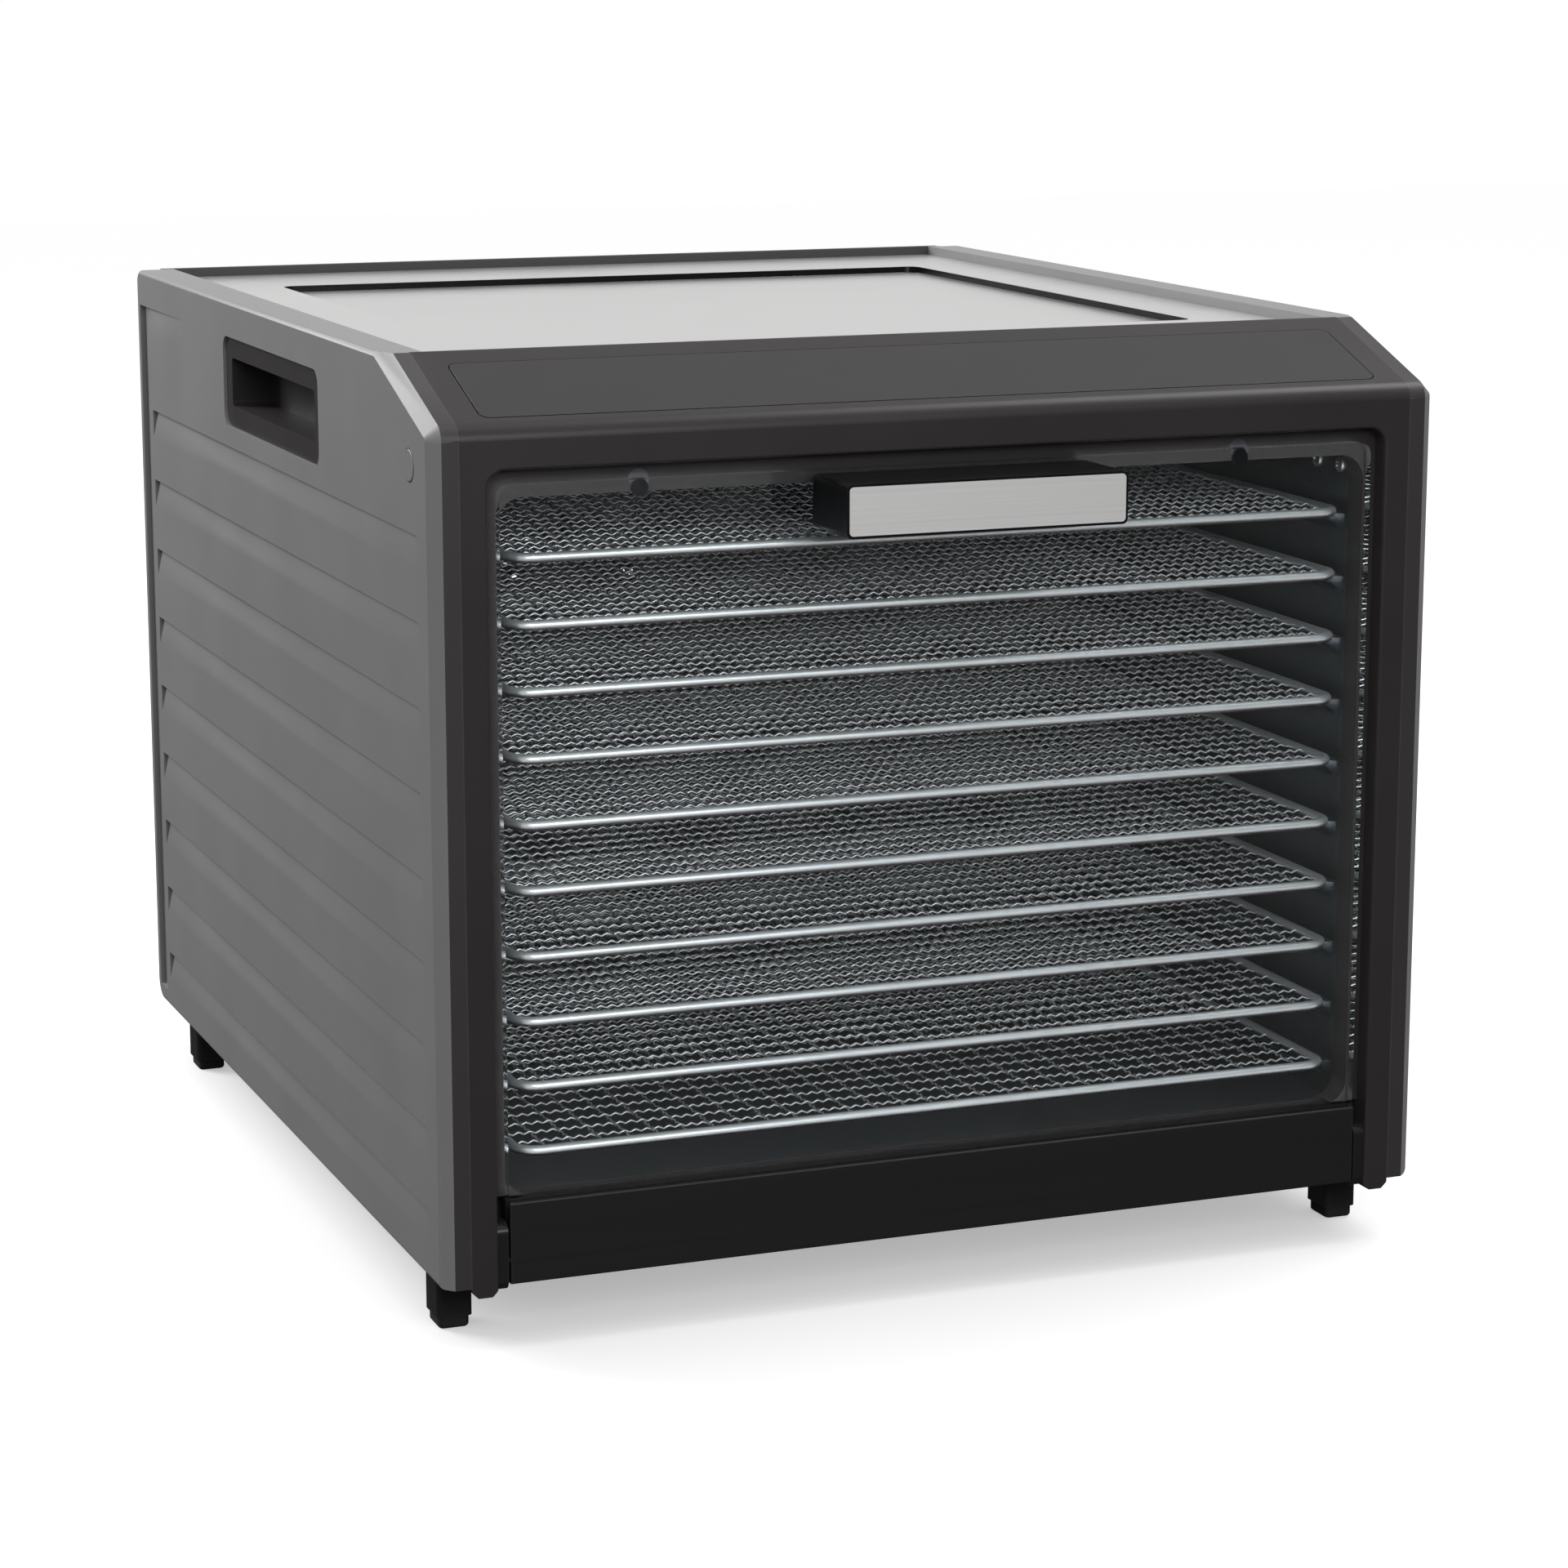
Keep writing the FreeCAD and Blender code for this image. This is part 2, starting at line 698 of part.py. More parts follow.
def left_liner_wall():
    wall = box(-liner_inner - liner_sheet, -liner_inner, column_depth, rear_face, liner_floor_z, liner_roof_z)
    flange = box(-liner_inner - liner_flange, -liner_inner, column_depth, column_depth + liner_sheet,
                 liner_floor_z, liner_roof_z)
    front = column_depth + runner_front_gap
    ridges = []
    hollows = []
    for number in range(tray_count):
        ridges.append(prism(runner_section(number, 0.0), "y", front, tray_rear))
        hollows.append(prism(runner_section(number, liner_sheet), "y", front + liner_sheet,
                             tray_rear - liner_sheet))
    return wall.fuse([flange] + ridges).cut(hollows).removeSplitter()


def liner_screw_points():
    return [(column_depth + step, liner_roof_z - liner_screw_drop) for step in liner_screw_steps]


def liner_screws():
    """Small screws near the chamber's upper front corners."""
    screws = []
    for y, z in liner_screw_points():
        top = -liner_inner + small_head_height
        head = rod(small_head_radius, (-liner_inner, y, z), (top, y, z))
        head = round_edges(head, small_head_round, lambda edge: edge.BoundBox.XMin > top - 0.01)
        screws += both_sides(head)
    return screws


def liner_plate(z):
    half = liner_inner + liner_sheet
    return box(-half, half, column_depth, rear_face, z, z + liner_sheet)


def rear_baffle():
    sheet = box(-liner_inner, liner_inner, baffle_y, baffle_y + liner_sheet, liner_floor_z, liner_roof_z)
    slots = []
    for inner, outer, count in baffle_rings:
        for number in range(count):
            slot = prism(rectangle(inner, outer, -baffle_slot_width / 2.0, baffle_slot_width / 2.0),
                         "y", baffle_y - past, baffle_y + liner_sheet + past, baffle_slot_width / 2.0 - 0.01)
            slot.rotate(V(0, 0, 0), V(0, 1, 0), number * 360.0 / count)
            slot.translate(V(0, 0, chamber_mid_z))
            slots.append(slot)
    return sheet.cut(slots)


def liner_stands():
    """Posts that carry the chamber's floor above the base pan."""
    x = liner_inner - stand_side
    stands = []
    for y in (column_depth + stand_side, rear_face - stand_side):
        post = rod(stand_radius, (-x, y, pan_sheet), (-x, y, liner_floor_z - liner_sheet))
        stands += both_sides(post)
    return stands


# ---- trays ----
def tray_shape():
    """The highest tray: a rod rim with a grid that stands for the woven mesh."""
    z = tray_level(0)
    half = tray_rod / 2.0
    outer = box(-tray_half, tray_half, tray_front, tray_rear, z - half, z + half)
    inner = box(-tray_half + tray_rod, tray_half - tray_rod, tray_front + tray_rod, tray_rear - tray_rod,
                z - half - past, z + half + past)
    mesh = box(-tray_half + half, tray_half - half, tray_front + half, tray_rear - half,
               z - tray_mesh / 2.0, z + tray_mesh / 2.0)
    step_x = (2.0 * (tray_half - tray_rod) + tray_bar) / tray_cells
    step_y = (tray_rear - tray_front - 2.0 * tray_rod + tray_bar) / tray_cells
    holes = []
    for column in range(tray_cells):
        x = -tray_half + tray_rod + column * step_x
        for row in range(tray_cells):
            y = tray_front + tray_rod + row * step_y
            holes.append(box(x, x + step_x - tray_bar, y, y + step_y - tray_bar, z - half, z + half))
    return outer.cut(inner).fuse(mesh.cut(holes)).removeSplitter()


# ---- door ----
def door_glass():
    sheet = prism(rectangle(-glass_half, glass_half, rail_top - glass_seat, glass_top),
                  "y", glass_front, glass_back, [0.0, 0.0, glass_radius, glass_radius])
    hole = handle_screw_radius + glass_hole_clearance
    holes = [rod(hole, (side * handle_screw_x, glass_front - past, handle_mid_z()),
                 (side * handle_screw_x, glass_back + past, handle_mid_z())) for side in (-1.0, 1.0)]
    return sheet.cut(holes)


def door_lower_rail():
    rail = prism([(rail_front, rail_bottom), (rail_front, rail_top), (rail_back, rail_top),
                  (rail_back, rail_bottom + rail_chamfer), (rail_back - rail_chamfer, rail_bottom)],
                 "x", -rail_half, rail_half, [rail_round, rail_round, 0.0, 0.0, 0.0])
    slot = box(-glass_half - past, glass_half + past, glass_front, glass_back, rail_top - glass_seat,
               rail_top + past)
    bores = [rod(pin_radius, (side * (rail_half + past), hinge_y, hinge_z),
                 (side * (rail_half - pin_grip), hinge_y, hinge_z)) for side in (-1.0, 1.0)]
    return rail.cut([slot] + bores)


def block_inner():
    return rail_half + block_gap


def hinge_blocks():
    """A bearing block between each end of the rail and its column."""
    radii = [block_round, block_back_round, block_back_round, block_round]
    block = prism(rectangle(rail_front + block_front_step, rail_back + block_back_step, block_bottom, block_top),
                  "x", -column_inner, -block_inner(), radii)
    block = block.cut(rod(pin_radius + pin_clearance, (-column_inner - past, hinge_y, hinge_z),
                          (-block_inner() + past, hinge_y, hinge_z)))
    return both_sides(block)


def hinge_pins():
    pin = rod(pin_radius, (-column_inner + pin_end_gap, hinge_y, hinge_z),
              (-rail_half + pin_grip, hinge_y, hinge_z))
    return both_sides(pin)


def handle_mid_z():
    return glass_top - handle_top_gap - handle_height / 2.0


def handle_grip():
    half = handle_length / 2.0
    z0 = handle_mid_z() - handle_height / 2.0
    z1 = handle_mid_z() + handle_height / 2.0
    bar = prism(rectangle(-half, half, z0, z1), "y", handle_front + plate_thickness - plate_seat,
                glass_front, handle_radius)
    seat = prism(rectangle(-half + plate_border, half - plate_border, z0 + plate_border, z1 - plate_border),
                 "y", handle_front - past, handle_front + plate_thickness, plate_radius)
    threads = [rod(handle_screw_radius, (side * handle_screw_x, glass_front - handle_thread, handle_mid_z()),
                   (side * handle_screw_x, glass_front + past, handle_mid_z())) for side in (-1.0, 1.0)]
    return bar.cut([seat] + threads)


def handle_plate():
    half = handle_length / 2.0 - plate_border
    tall = handle_height / 2.0 - plate_border
    return prism(rectangle(-half, half, handle_mid_z() - tall, handle_mid_z() + tall), "y", handle_front,
                 handle_front + plate_thickness, plate_radius)


def handle_screws():
    screws = []
    for side in (-1.0, 1.0):
        x = side * handle_screw_x
        shank = rod(handle_screw_radius, (x, glass_front - handle_thread, handle_mid_z()),
                    (x, glass_back, handle_mid_z()))
        head = rod(screw_head_radius, (x, glass_back, handle_mid_z()),
                   (x, glass_back + screw_head_height, handle_mid_z()))
        screws.append(shank.fuse(head))
    return screws


def strike_discs():
    z = glass_top - strike_radius - strike_edge
    return [rod(strike_radius, (side * magnet_x, glass_back, z),
                (side * magnet_x, glass_back + strike_thickness, z)) for side in (-1.0, 1.0)]


# ---- fan, motor and heater ----
def fan_impeller():
    hub = rod(hub_radius, (0.0, fan_front, 0.0), (0.0, fan_front + fan_width, 0.0))
    hub = round_edges(hub, hub_round, lambda edge: edge.BoundBox.YMax < fan_front + 0.01)
    blades = []
    for number in range(fan_blades):
        blade = box(hub_radius - blade_root, fan_radius, -blade_thickness / 2.0, blade_thickness / 2.0,
                    -fan_width, fan_width)
        blade.rotate(V(0, 0, 0), V(1, 0, 0), 90.0 - blade_pitch)
        blade.translate(V(0, fan_front + fan_width / 2.0, 0))
        blade.rotate(V(0, 0, 0), V(0, 1, 0), number * 360.0 / fan_blades)
        blades.append(blade)
    keep = rod(fan_radius, (0.0, fan_front + blade_end, 0.0), (0.0, fan_front + fan_width - blade_end, 0.0))
    blades = [blade.common(keep) for blade in blades]
    bore = rod(shaft_radius, (0, fan_front - past, 0), (0, fan_front + fan_width + past, 0))
    wheel = hub.fuse(blades).cut(bore)
    wheel.translate(V(0, 0, chamber_mid_z))
    return wheel


def motor_back():
    return bracket_y + bracket_sheet + motor_length


def motor_shaft():
    return rod(shaft_radius, (0, fan_front - nut_height - shaft_end, chamber_mid_z),
               (0, motor_back() - shaft_end, chamber_mid_z))


def fan_nut():
    points = []
    for corner in range(6):
        turn = math.radians(60.0 * corner)
        size = nut_across / math.sqrt(3.0)
        points.append((size * math.cos(turn), chamber_mid_z + size * math.sin(turn)))
    nut = prism(points, "y", fan_front - nut_height, fan_front)
    return nut.cut(rod(shaft_radius, (0, fan_front - nut_height - past, chamber_mid_z),
                       (0, fan_front + past, chamber_mid_z)))


def bearing_starts():
    """Front of each of the two motor bearings."""
    front = bracket_y + bracket_sheet
    return [front, motor_back() - bearing_length]


def fan_motor():
    front = bracket_y + bracket_sheet
    can = rod(motor_radius, (0, front, chamber_mid_z), (0, motor_back(), chamber_mid_z))
    can = round_edges(can, motor_round, lambda edge: edge.BoundBox.YMin > motor_back() - 0.01)
    cuts = [rod(shaft_radius + rotor_clearance, (0, front - past, chamber_mid_z),
                (0, motor_back() - motor_rear_wall, chamber_mid_z))]
    for start in bearing_starts():
        end = start + bearing_length
        cuts.append(rod(bearing_radius, (0, start, chamber_mid_z), (0, end, chamber_mid_z)))
    return can.cut(cuts)


def motor_bearings():
    rings = []
    for start in bearing_starts():
        ring = rod(bearing_radius, (0, start, chamber_mid_z), (0, start + bearing_length, chamber_mid_z))
        bore = rod(shaft_radius + shaft_clearance, (0, start - past, chamber_mid_z),
                   (0, start + bearing_length + past, chamber_mid_z))
        rings.append(ring.cut(bore))
    return rings


def motor_bracket():
    around = rectangle(-bracket_length / 2.0, bracket_length / 2.0, chamber_mid_z - bracket_width / 2.0,
                       chamber_mid_z + bracket_width / 2.0)
    sheet = prism(around, "y", bracket_y, bracket_y + bracket_sheet, bracket_radius)
    return sheet.cut(rod(motor_boss_radius, (0, bracket_y - past, chamber_mid_z),
                         (0, bracket_y + bracket_sheet + past, chamber_mid_z)))


def motor_posts():
    posts = []
    for z in (chamber_mid_z - bracket_width / 3.0, chamber_mid_z + bracket_width / 3.0):
        posts += both_sides(rod(post_radius, (-post_x, baffle_y + liner_sheet, z), (-post_x, bracket_y, z)))
    return posts


def heater_element():
    """A sheathed ring round the fan, with two legs that run back to its terminals."""
    gap = math.radians(heater_gap_angle)
    start = (heater_radius * math.sin(gap / 2.0), chamber_mid_z + heater_radius * math.cos(gap / 2.0))
    side = (heater_radius, chamber_mid_z)
    end = (-start[0], start[1])
    lowest = (0.0, chamber_mid_z - heater_radius)
    ring = Part.Wire([Part.Arc(V(start[0], heater_y, start[1]), V(side[0], heater_y, side[1]),
                               V(lowest[0], heater_y, lowest[1])).toShape(),
                      Part.Arc(V(lowest[0], heater_y, lowest[1]), V(-side[0], heater_y, side[1]),
                               V(end[0], heater_y, end[1])).toShape()])
    tangent = V(-math.cos(gap / 2.0), 0, math.sin(gap / 2.0))
    circle = Part.Wire([Part.makeCircle(heater_tube, V(start[0], heater_y, start[1]), tangent)])
    tube = ring.makePipeShell([circle], True, True)
    for x, z in (start, end):
        tube = tube.fuse([Part.makeSphere(heater_tube, V(x, heater_y, z)),
                          rod(heater_tube, (x, heater_y, z), (x, heater_y + heater_leg, z))])
    return tube


def heater_clips():
    """Bent straps that hold the ring off the baffle."""
    clips = []
    for turn in (45.0, 135.0, 225.0, 315.0):
        strap = box(heater_radius - clip_sheet - heater_tube - clip_gap,
                    heater_radius - heater_tube - clip_gap, baffle_y + liner_sheet,
                    heater_y + heater_tube, -clip_width / 2.0, clip_width / 2.0)
        strap.rotate(V(0, 0, 0), V(0, 1, 0), turn)
        strap.translate(V(0, 0, chamber_mid_z))
        clips.append(strap)
    return clips


def thermal_cutout():
    z = liner_roof_z - cutout_drop
    start = baffle_y + liner_sheet
    back = start + cutout_height
    half = cutout_radius / 2.0
    reach = cutout_radius + cutout_ear
    body = rod(cutout_radius, (cutout_x, start, z), (cutout_x, back, z))
    ears = box(cutout_x - reach, cutout_x + reach, start, start + cutout_ear_sheet, z - half, z + half)
    tags = box(cutout_x - half, cutout_x + half, back, back + cutout_tag, z - cutout_ear_sheet / 2.0,
               z + cutout_ear_sheet / 2.0)
    return body.fuse([ears, tags])


def power_inlet():
    """A three-prong appliance inlet in the rear cover."""
    socket_back = body_depth + rear_trim - socket_depth
    half = inlet_length / 2.0
    tall = inlet_height / 2.0
    body = box(inlet_x - half + inlet_gap, inlet_x + half - inlet_gap, body_depth - inlet_depth, body_depth,
               inlet_z - tall + inlet_gap, inlet_z + tall - inlet_gap)
    flange = prism(rectangle(inlet_x - half - inlet_flange, inlet_x + half + inlet_flange,
                             inlet_z - tall - inlet_flange, inlet_z + tall + inlet_flange),
                   "y", body_depth, body_depth + rear_trim, inlet_flange_radius)
    socket = prism(rectangle(inlet_x - socket_length / 2.0, inlet_x + socket_length / 2.0,
                             inlet_z - socket_height / 2.0, inlet_z + socket_height / 2.0),
                   "y", socket_back, body_depth + rear_trim + past, socket_radius)
    inlet = body.fuse(flange).cut(socket)
    for number in (-1.0, 0.0, 1.0):
        x = inlet_x + number * prong_spacing
        z = inlet_z + (prong_rise if number == 0.0 else -prong_rise)
        inlet = inlet.fuse(rod(prong_radius, (x, socket_back - prong_root, z),
                               (x, body_depth - prong_tip, z)))
    return inlet


# ---- feet ----
def foot(y, inset, z0, z1):
    return prism(rectangle(-foot_x - foot_width / 2.0 + inset, -foot_x + foot_width / 2.0 - inset,
                           y + inset, y + foot_length - inset), "z", z0, z1, foot_radius)


def foot_pad(y):
    pad = foot(y, pad_inset, -foot_height, -foot_height + pad_height)
    return round_edges(pad, pad_round, lambda edge: edge.BoundBox.ZMax < -foot_height + 0.01)


def main():
    os.makedirs("parts", exist_ok=True)
    write("left_side_panel", left_panel())
    write("right_side_panel", mirrored(left_panel()))
    write("left_handle_pocket", left_pocket())
    write("right_handle_pocket", mirrored(left_pocket()))
    write("side_screw_caps", *both_sides(left_cap()))
    write("top_cover", top_cover())
    write("rear_cover", rear_cover())
    write("rear_screws", *rear_screws())
    write("base_pan", base_pan())
    write("front_frame", front_frame())
    write("control_panel", control_panel())
    write("control_board", control_board())
    write("display_module", display_module())
    write("magnet_catches", *magnet_catches())
    write("left_liner_wall", left_liner_wall())
    write("right_liner_wall", mirrored(left_liner_wall()))
    write("liner_roof", liner_plate(liner_roof_z))
    write("liner_floor", liner_plate(liner_floor_z - liner_sheet))
    write("liner_screws", *liner_screws())
    write("liner_stands", *liner_stands())
    write("rear_baffle", rear_baffle())
    tray = tray_shape()
    for number in range(tray_count):
        lowered = tray.copy()
        lowered.translate(V(0, 0, tray_level(number) - tray_level(0)))
        write("tray_%02d" % (number + 1), lowered)
    write("door_glass", door_glass())
    write("door_lower_rail", door_lower_rail())
    write("hinge_blocks", *hinge_blocks())
    write("hinge_pins", *hinge_pins())
    write("handle_grip", handle_grip())
    write("handle_plate", handle_plate())
    write("handle_screws", *handle_screws())
    write("strike_discs", *strike_discs())
    write("fan_impeller", fan_impeller())
    write("motor_shaft", motor_shaft())
    write("fan_nut", fan_nut())
    write("fan_motor", fan_motor())
    write("motor_bearings", *motor_bearings())
    write("motor_bracket", motor_bracket())
    write("motor_posts", *motor_posts())
    write("heater_element", heater_element())
    write("heater_clips", *heater_clips())
    write("thermal_cutout", thermal_cutout())
    write("power_inlet", power_inlet())
    for end, y in (("front", foot_front_y), ("rear", foot_rear_y)):
        leg = foot(y, 0.0, -foot_height + pad_height, 0.0)
        pad = foot_pad(y)
        write("foot_%s_left" % end, leg)
        write("foot_%s_right" % end, mirrored(leg))
        write("pad_%s_left" % end, pad)
        write("pad_%s_right" % end, mirrored(pad))


main()
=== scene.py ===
"""Looks of a ten-tray food dehydrator: softened mouldings, woven wire trays and procedural finishes."""
import json
import math

import bmesh
import bpy
from bpy.props import FloatProperty, FloatVectorProperty, IntProperty, PointerProperty
from mathutils import Matrix, Vector

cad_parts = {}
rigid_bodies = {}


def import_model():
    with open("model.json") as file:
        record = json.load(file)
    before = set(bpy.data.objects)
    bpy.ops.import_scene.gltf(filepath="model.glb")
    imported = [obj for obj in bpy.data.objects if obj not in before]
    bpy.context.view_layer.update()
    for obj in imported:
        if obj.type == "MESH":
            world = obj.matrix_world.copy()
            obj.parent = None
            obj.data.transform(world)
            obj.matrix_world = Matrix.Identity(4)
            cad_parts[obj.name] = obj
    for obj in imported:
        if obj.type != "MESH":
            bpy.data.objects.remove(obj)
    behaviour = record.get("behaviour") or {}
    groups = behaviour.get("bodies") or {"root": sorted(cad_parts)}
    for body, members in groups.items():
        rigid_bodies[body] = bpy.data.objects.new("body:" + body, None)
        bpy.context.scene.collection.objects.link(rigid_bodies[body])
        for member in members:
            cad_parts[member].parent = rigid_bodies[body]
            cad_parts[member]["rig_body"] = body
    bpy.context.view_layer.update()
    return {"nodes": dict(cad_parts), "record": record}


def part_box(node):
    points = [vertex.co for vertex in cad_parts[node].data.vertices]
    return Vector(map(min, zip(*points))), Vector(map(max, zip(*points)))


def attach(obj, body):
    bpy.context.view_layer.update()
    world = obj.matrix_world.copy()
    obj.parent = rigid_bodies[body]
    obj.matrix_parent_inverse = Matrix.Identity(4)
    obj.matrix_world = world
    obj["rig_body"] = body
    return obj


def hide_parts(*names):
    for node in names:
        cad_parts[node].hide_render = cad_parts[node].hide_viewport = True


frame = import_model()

MM = 0.001
SLOT_OF = {row["node"]: row["material_slot"] for row in frame["record"]["subparts"]}
TRAYS = sorted(node for node in frame["nodes"] if node.startswith("tray_"))

bl_info = {
    "name": "Food dehydrator looks",
    "version": (1, 0, 0),
    "blender": (4, 5, 0),
    "location": "View3D > Sidebar > Dehydrator",
    "description": "Finishes and fine pieces of a ten-tray food dehydrator",
    "category": "Object",
}


# ---- settings ----
def length(name, description, default):
    return FloatProperty(name=name, description=description, default=default, subtype="DISTANCE", unit="LENGTH")


def colour(name, description, default):
    return FloatVectorProperty(name=name, description=description, default=default, subtype="COLOR",
                               size=3, min=0.0, max=1.0)


class CabinetSettings(bpy.types.PropertyGroup):
    moulding_edge: length("Moulding edge", "Radius left on the edges of moulded pieces", 0.5 * MM)
    sheet_edge: length("Sheet edge", "Radius left on the edges of sheet-metal pieces", 0.2 * MM)
    panel_colour: colour("Side panels", "Grey of the moulded side panels", (0.205, 0.205, 0.207))
    top_colour: colour("Top cover", "Grey of the coated top sheet", (0.700, 0.698, 0.694))
    frame_colour: colour("Front frame", "Charcoal of the front moulding", (0.0290, 0.0255, 0.0265))
    control_colour: colour("Control panel", "Grey behind the gloss control strip", (0.015, 0.015, 0.0165))
    rear_colour: colour("Rear cover", "Dark grey of the rear cover", (0.040, 0.040, 0.042))
    texture_size: length("Moulded texture", "Size of the grain in the moulded plastic", 0.9 * MM)


class ChamberSettings(bpy.types.PropertyGroup):
    liner_colour: colour("Liner", "Blue-grey of the galvanised liner", (0.100, 0.116, 0.130))
    runner_rise: length("Runner slope", "Height over which a runner swells out of the wall", 8.0 * MM)
    runner_blend: length("Runner end", "Length over which a runner's end fades into the wall", 9.0 * MM)
    runner_inset: length("Runner end step", "How far back a runner starts behind the liner's front", 3.0 * MM)


class TraySettings(bpy.types.PropertyGroup):
    wire_radius: length("Wire radius", "Radius of the crimped mesh wires", 0.52 * MM)
    crimp: length("Crimp height", "How far a wire swings above and below the tray's middle", 0.55 * MM)
    cells_across: IntProperty(name="Cells across", description="Mesh cells from side to side",
                              default=30, min=4)
    cells_deep: IntProperty(name="Cells deep", description="Mesh cells from front to back",
                            default=30, min=4)
    corner: length("Rim corner", "Radius of the rim's bent corners", 9.0 * MM)
    wire_colour: colour("Wire", "Tint of the bright wire", (0.640, 0.675, 0.700))


class DoorSettings(bpy.types.PropertyGroup):
    glass_colour: colour("Glass", "Tint of the door glass", (0.970, 0.986, 0.985))
    rail_colour: colour("Lower rail", "Near-black of the lower rail", (0.0115, 0.0100, 0.0105))
    grip_colour: colour("Handle", "Black of the handle", (0.0040, 0.0040, 0.0050))
    plate_colour: colour("Handle plate", "Tint of the brushed handle plate", (0.920, 0.912, 0.905))
    brush_length: length("Brush marks", "Length of the brush marks on the handle plate", 45.0 * MM)


class StageSettings(bpy.types.PropertyGroup):
    floor_colour: colour("Floor", "Colour of the floor", (0.600, 0.600, 0.600))
    floor_fill: FloatProperty(name="Floor fill", description="Light added under the shadows", default=0.42)
    sky_colour: colour("Surroundings", "Colour of the surroundings", (1.0, 1.0, 1.0))
    overhead_light: FloatProperty(name="Overhead light", default=1.25,
                                  description="Strength of the light from above")
    horizon_light: FloatProperty(name="Horizon light", default=0.10,
                                 description="Strength of the light from the sides and below")
    glossy_share: FloatProperty(name="Share in reflections", description="Share of the room light that glossy "
                                "pieces show", default=0.35, subtype="FACTOR", min=0.0, max=1.0)


SETTINGS = {
    "cabinet": CabinetSettings,
    "chamber": ChamberSettings,
    "trays": TraySettings,
    "door": DoorSettings,
    "stage": StageSettings,
}


def settings(group):
    return getattr(bpy.context.scene, "dehydrator_" + group)


# ---- building node trees ----
class Tree:
    """Adds nodes to a node tree and links them, with node inputs given by name."""

    def __init__(self, tree):
        self.tree = tree

    def add(self, kind, inputs=None, **values):
        node = self.tree.nodes.new(kind)
        for name, value in values.items():
            setattr(node, name, value)
        for name, value in (inputs or {}).items():
            self.feed(node.inputs[name], value)
        return node

    def feed(self, socket, value):
        if isinstance(value, bpy.types.NodeSocket):
            self.tree.links.new(value, socket)
        else:
            socket.default_value = value

    def math(self, operation, a, b=0.0, clamp=False):
        return self.add("ShaderNodeMath", {0: a, 1: b}, operation=operation, use_clamp=clamp).outputs[0]

    def group(self, name, inputs):
        node = self.tree.nodes.new("ShaderNodeGroup")
        node.node_tree = bpy.data.node_groups[name]
        for label, value in inputs.items():
            self.feed(node.inputs[label], value)
        return node.outputs

    def blend(self, factor, a, b, mode="MIX"):
        """A colour mix of two colours."""
        node = self.add("ShaderNodeMix", data_type="RGBA", blend_type=mode)
        self.feed(node.inputs[0], factor)
        self.feed(node.inputs[6], a)
        self.feed(node.inputs[7], b)
        return node.outputs[2]

    def between(self, value, low, high):
        """A 0 to 1 value spread from low to high."""
        return self.add("ShaderNodeMapRange", {"Value": value, "To Min": low, "To Max": high}).outputs[0]

    def shades(self, factor, tint, dark, light):
        """A tint that runs from a darker to a lighter share of itself."""
        return self.blend(factor, rgba(tint, dark), rgba(tint, light))

    def noise(self, vector, scale, detail=2.0, distortion=0.0):
        return self.add("ShaderNodeTexNoise", {"Vector": vector, "Scale": scale, "Detail": detail,
                                               "Distortion": distortion}).outputs["Fac"]

    def xyz(self, **parts):
        return self.add("ShaderNodeCombineXYZ", parts).outputs[0]

    def facing(self, normal="Normal"):
        """The X, Y and Z of the surface's normal."""
        turned = self.add("ShaderNodeNewGeometry").outputs[normal]
        return self.add("ShaderNodeSeparateXYZ", {0: turned}).outputs

    def rubbed(self, vector, radius, amount):
        return self.group("rubbed_edges", {"Vector": vector, "Radius": radius, "Amount": amount})["Mask"]

    def wiped(self, vector, size):
        return self.group("wiped_smudges", {"Vector": vector, "Size": size})["Mask"]

    def dust(self, vector, amount):
        return self.group("settled_dust", {"Vector": vector, "Amount": amount})["Mask"]


def rgba(tint, scale=1.0):
    return (tint[0] * scale, tint[1] * scale, tint[2] * scale, 1.0)


def open_group(name, inputs, outputs):
    """A shader node group with named float or vector sockets, and its input and output nodes."""
    tree = bpy.data.node_groups.new(name, "ShaderNodeTree")
    for label, kind, default in inputs:
        socket = tree.interface.new_socket(label, in_out="INPUT", socket_type="NodeSocket" + kind)
        if default is not None:
            socket.default_value = default
    for label, kind in outputs:
        tree.interface.new_socket(label, in_out="OUTPUT", socket_type="NodeSocket" + kind)
    nodes = Tree(tree)
    return nodes, nodes.add("NodeGroupInput").outputs, nodes.add("NodeGroupOutput")


PITS_TO_PEBBLES = 0.6        # how closely pits and mottling repeat, as shares of the pebbles
MOTTLE_TO_PEBBLES = 0.02


def build_moulded_grain():
    """Fine pebbled texture of moulded plastic."""
    nodes, given, result = open_group("moulded_grain", [("Vector", "Vector", None), ("Size", "Float", MM)],
                                      [("Height", "Float"), ("Mottle", "Float")])
    scale = nodes.math("DIVIDE", 1.0, given["Size"])
    pebbles = nodes.add("ShaderNodeTexVoronoi", {"Vector": given["Vector"], "Scale": scale},
                        feature="SMOOTH_F1")
    pits = nodes.noise(given["Vector"], nodes.math("MULTIPLY", scale, PITS_TO_PEBBLES), 3.0)
    height = nodes.math("MULTIPLY", pebbles.outputs["Distance"], pits)
    nodes.feed(result.inputs["Height"], height)
    mottle = nodes.noise(given["Vector"], nodes.math("MULTIPLY", scale, MOTTLE_TO_PEBBLES), 4.0)
    nodes.feed(result.inputs["Mottle"], mottle)


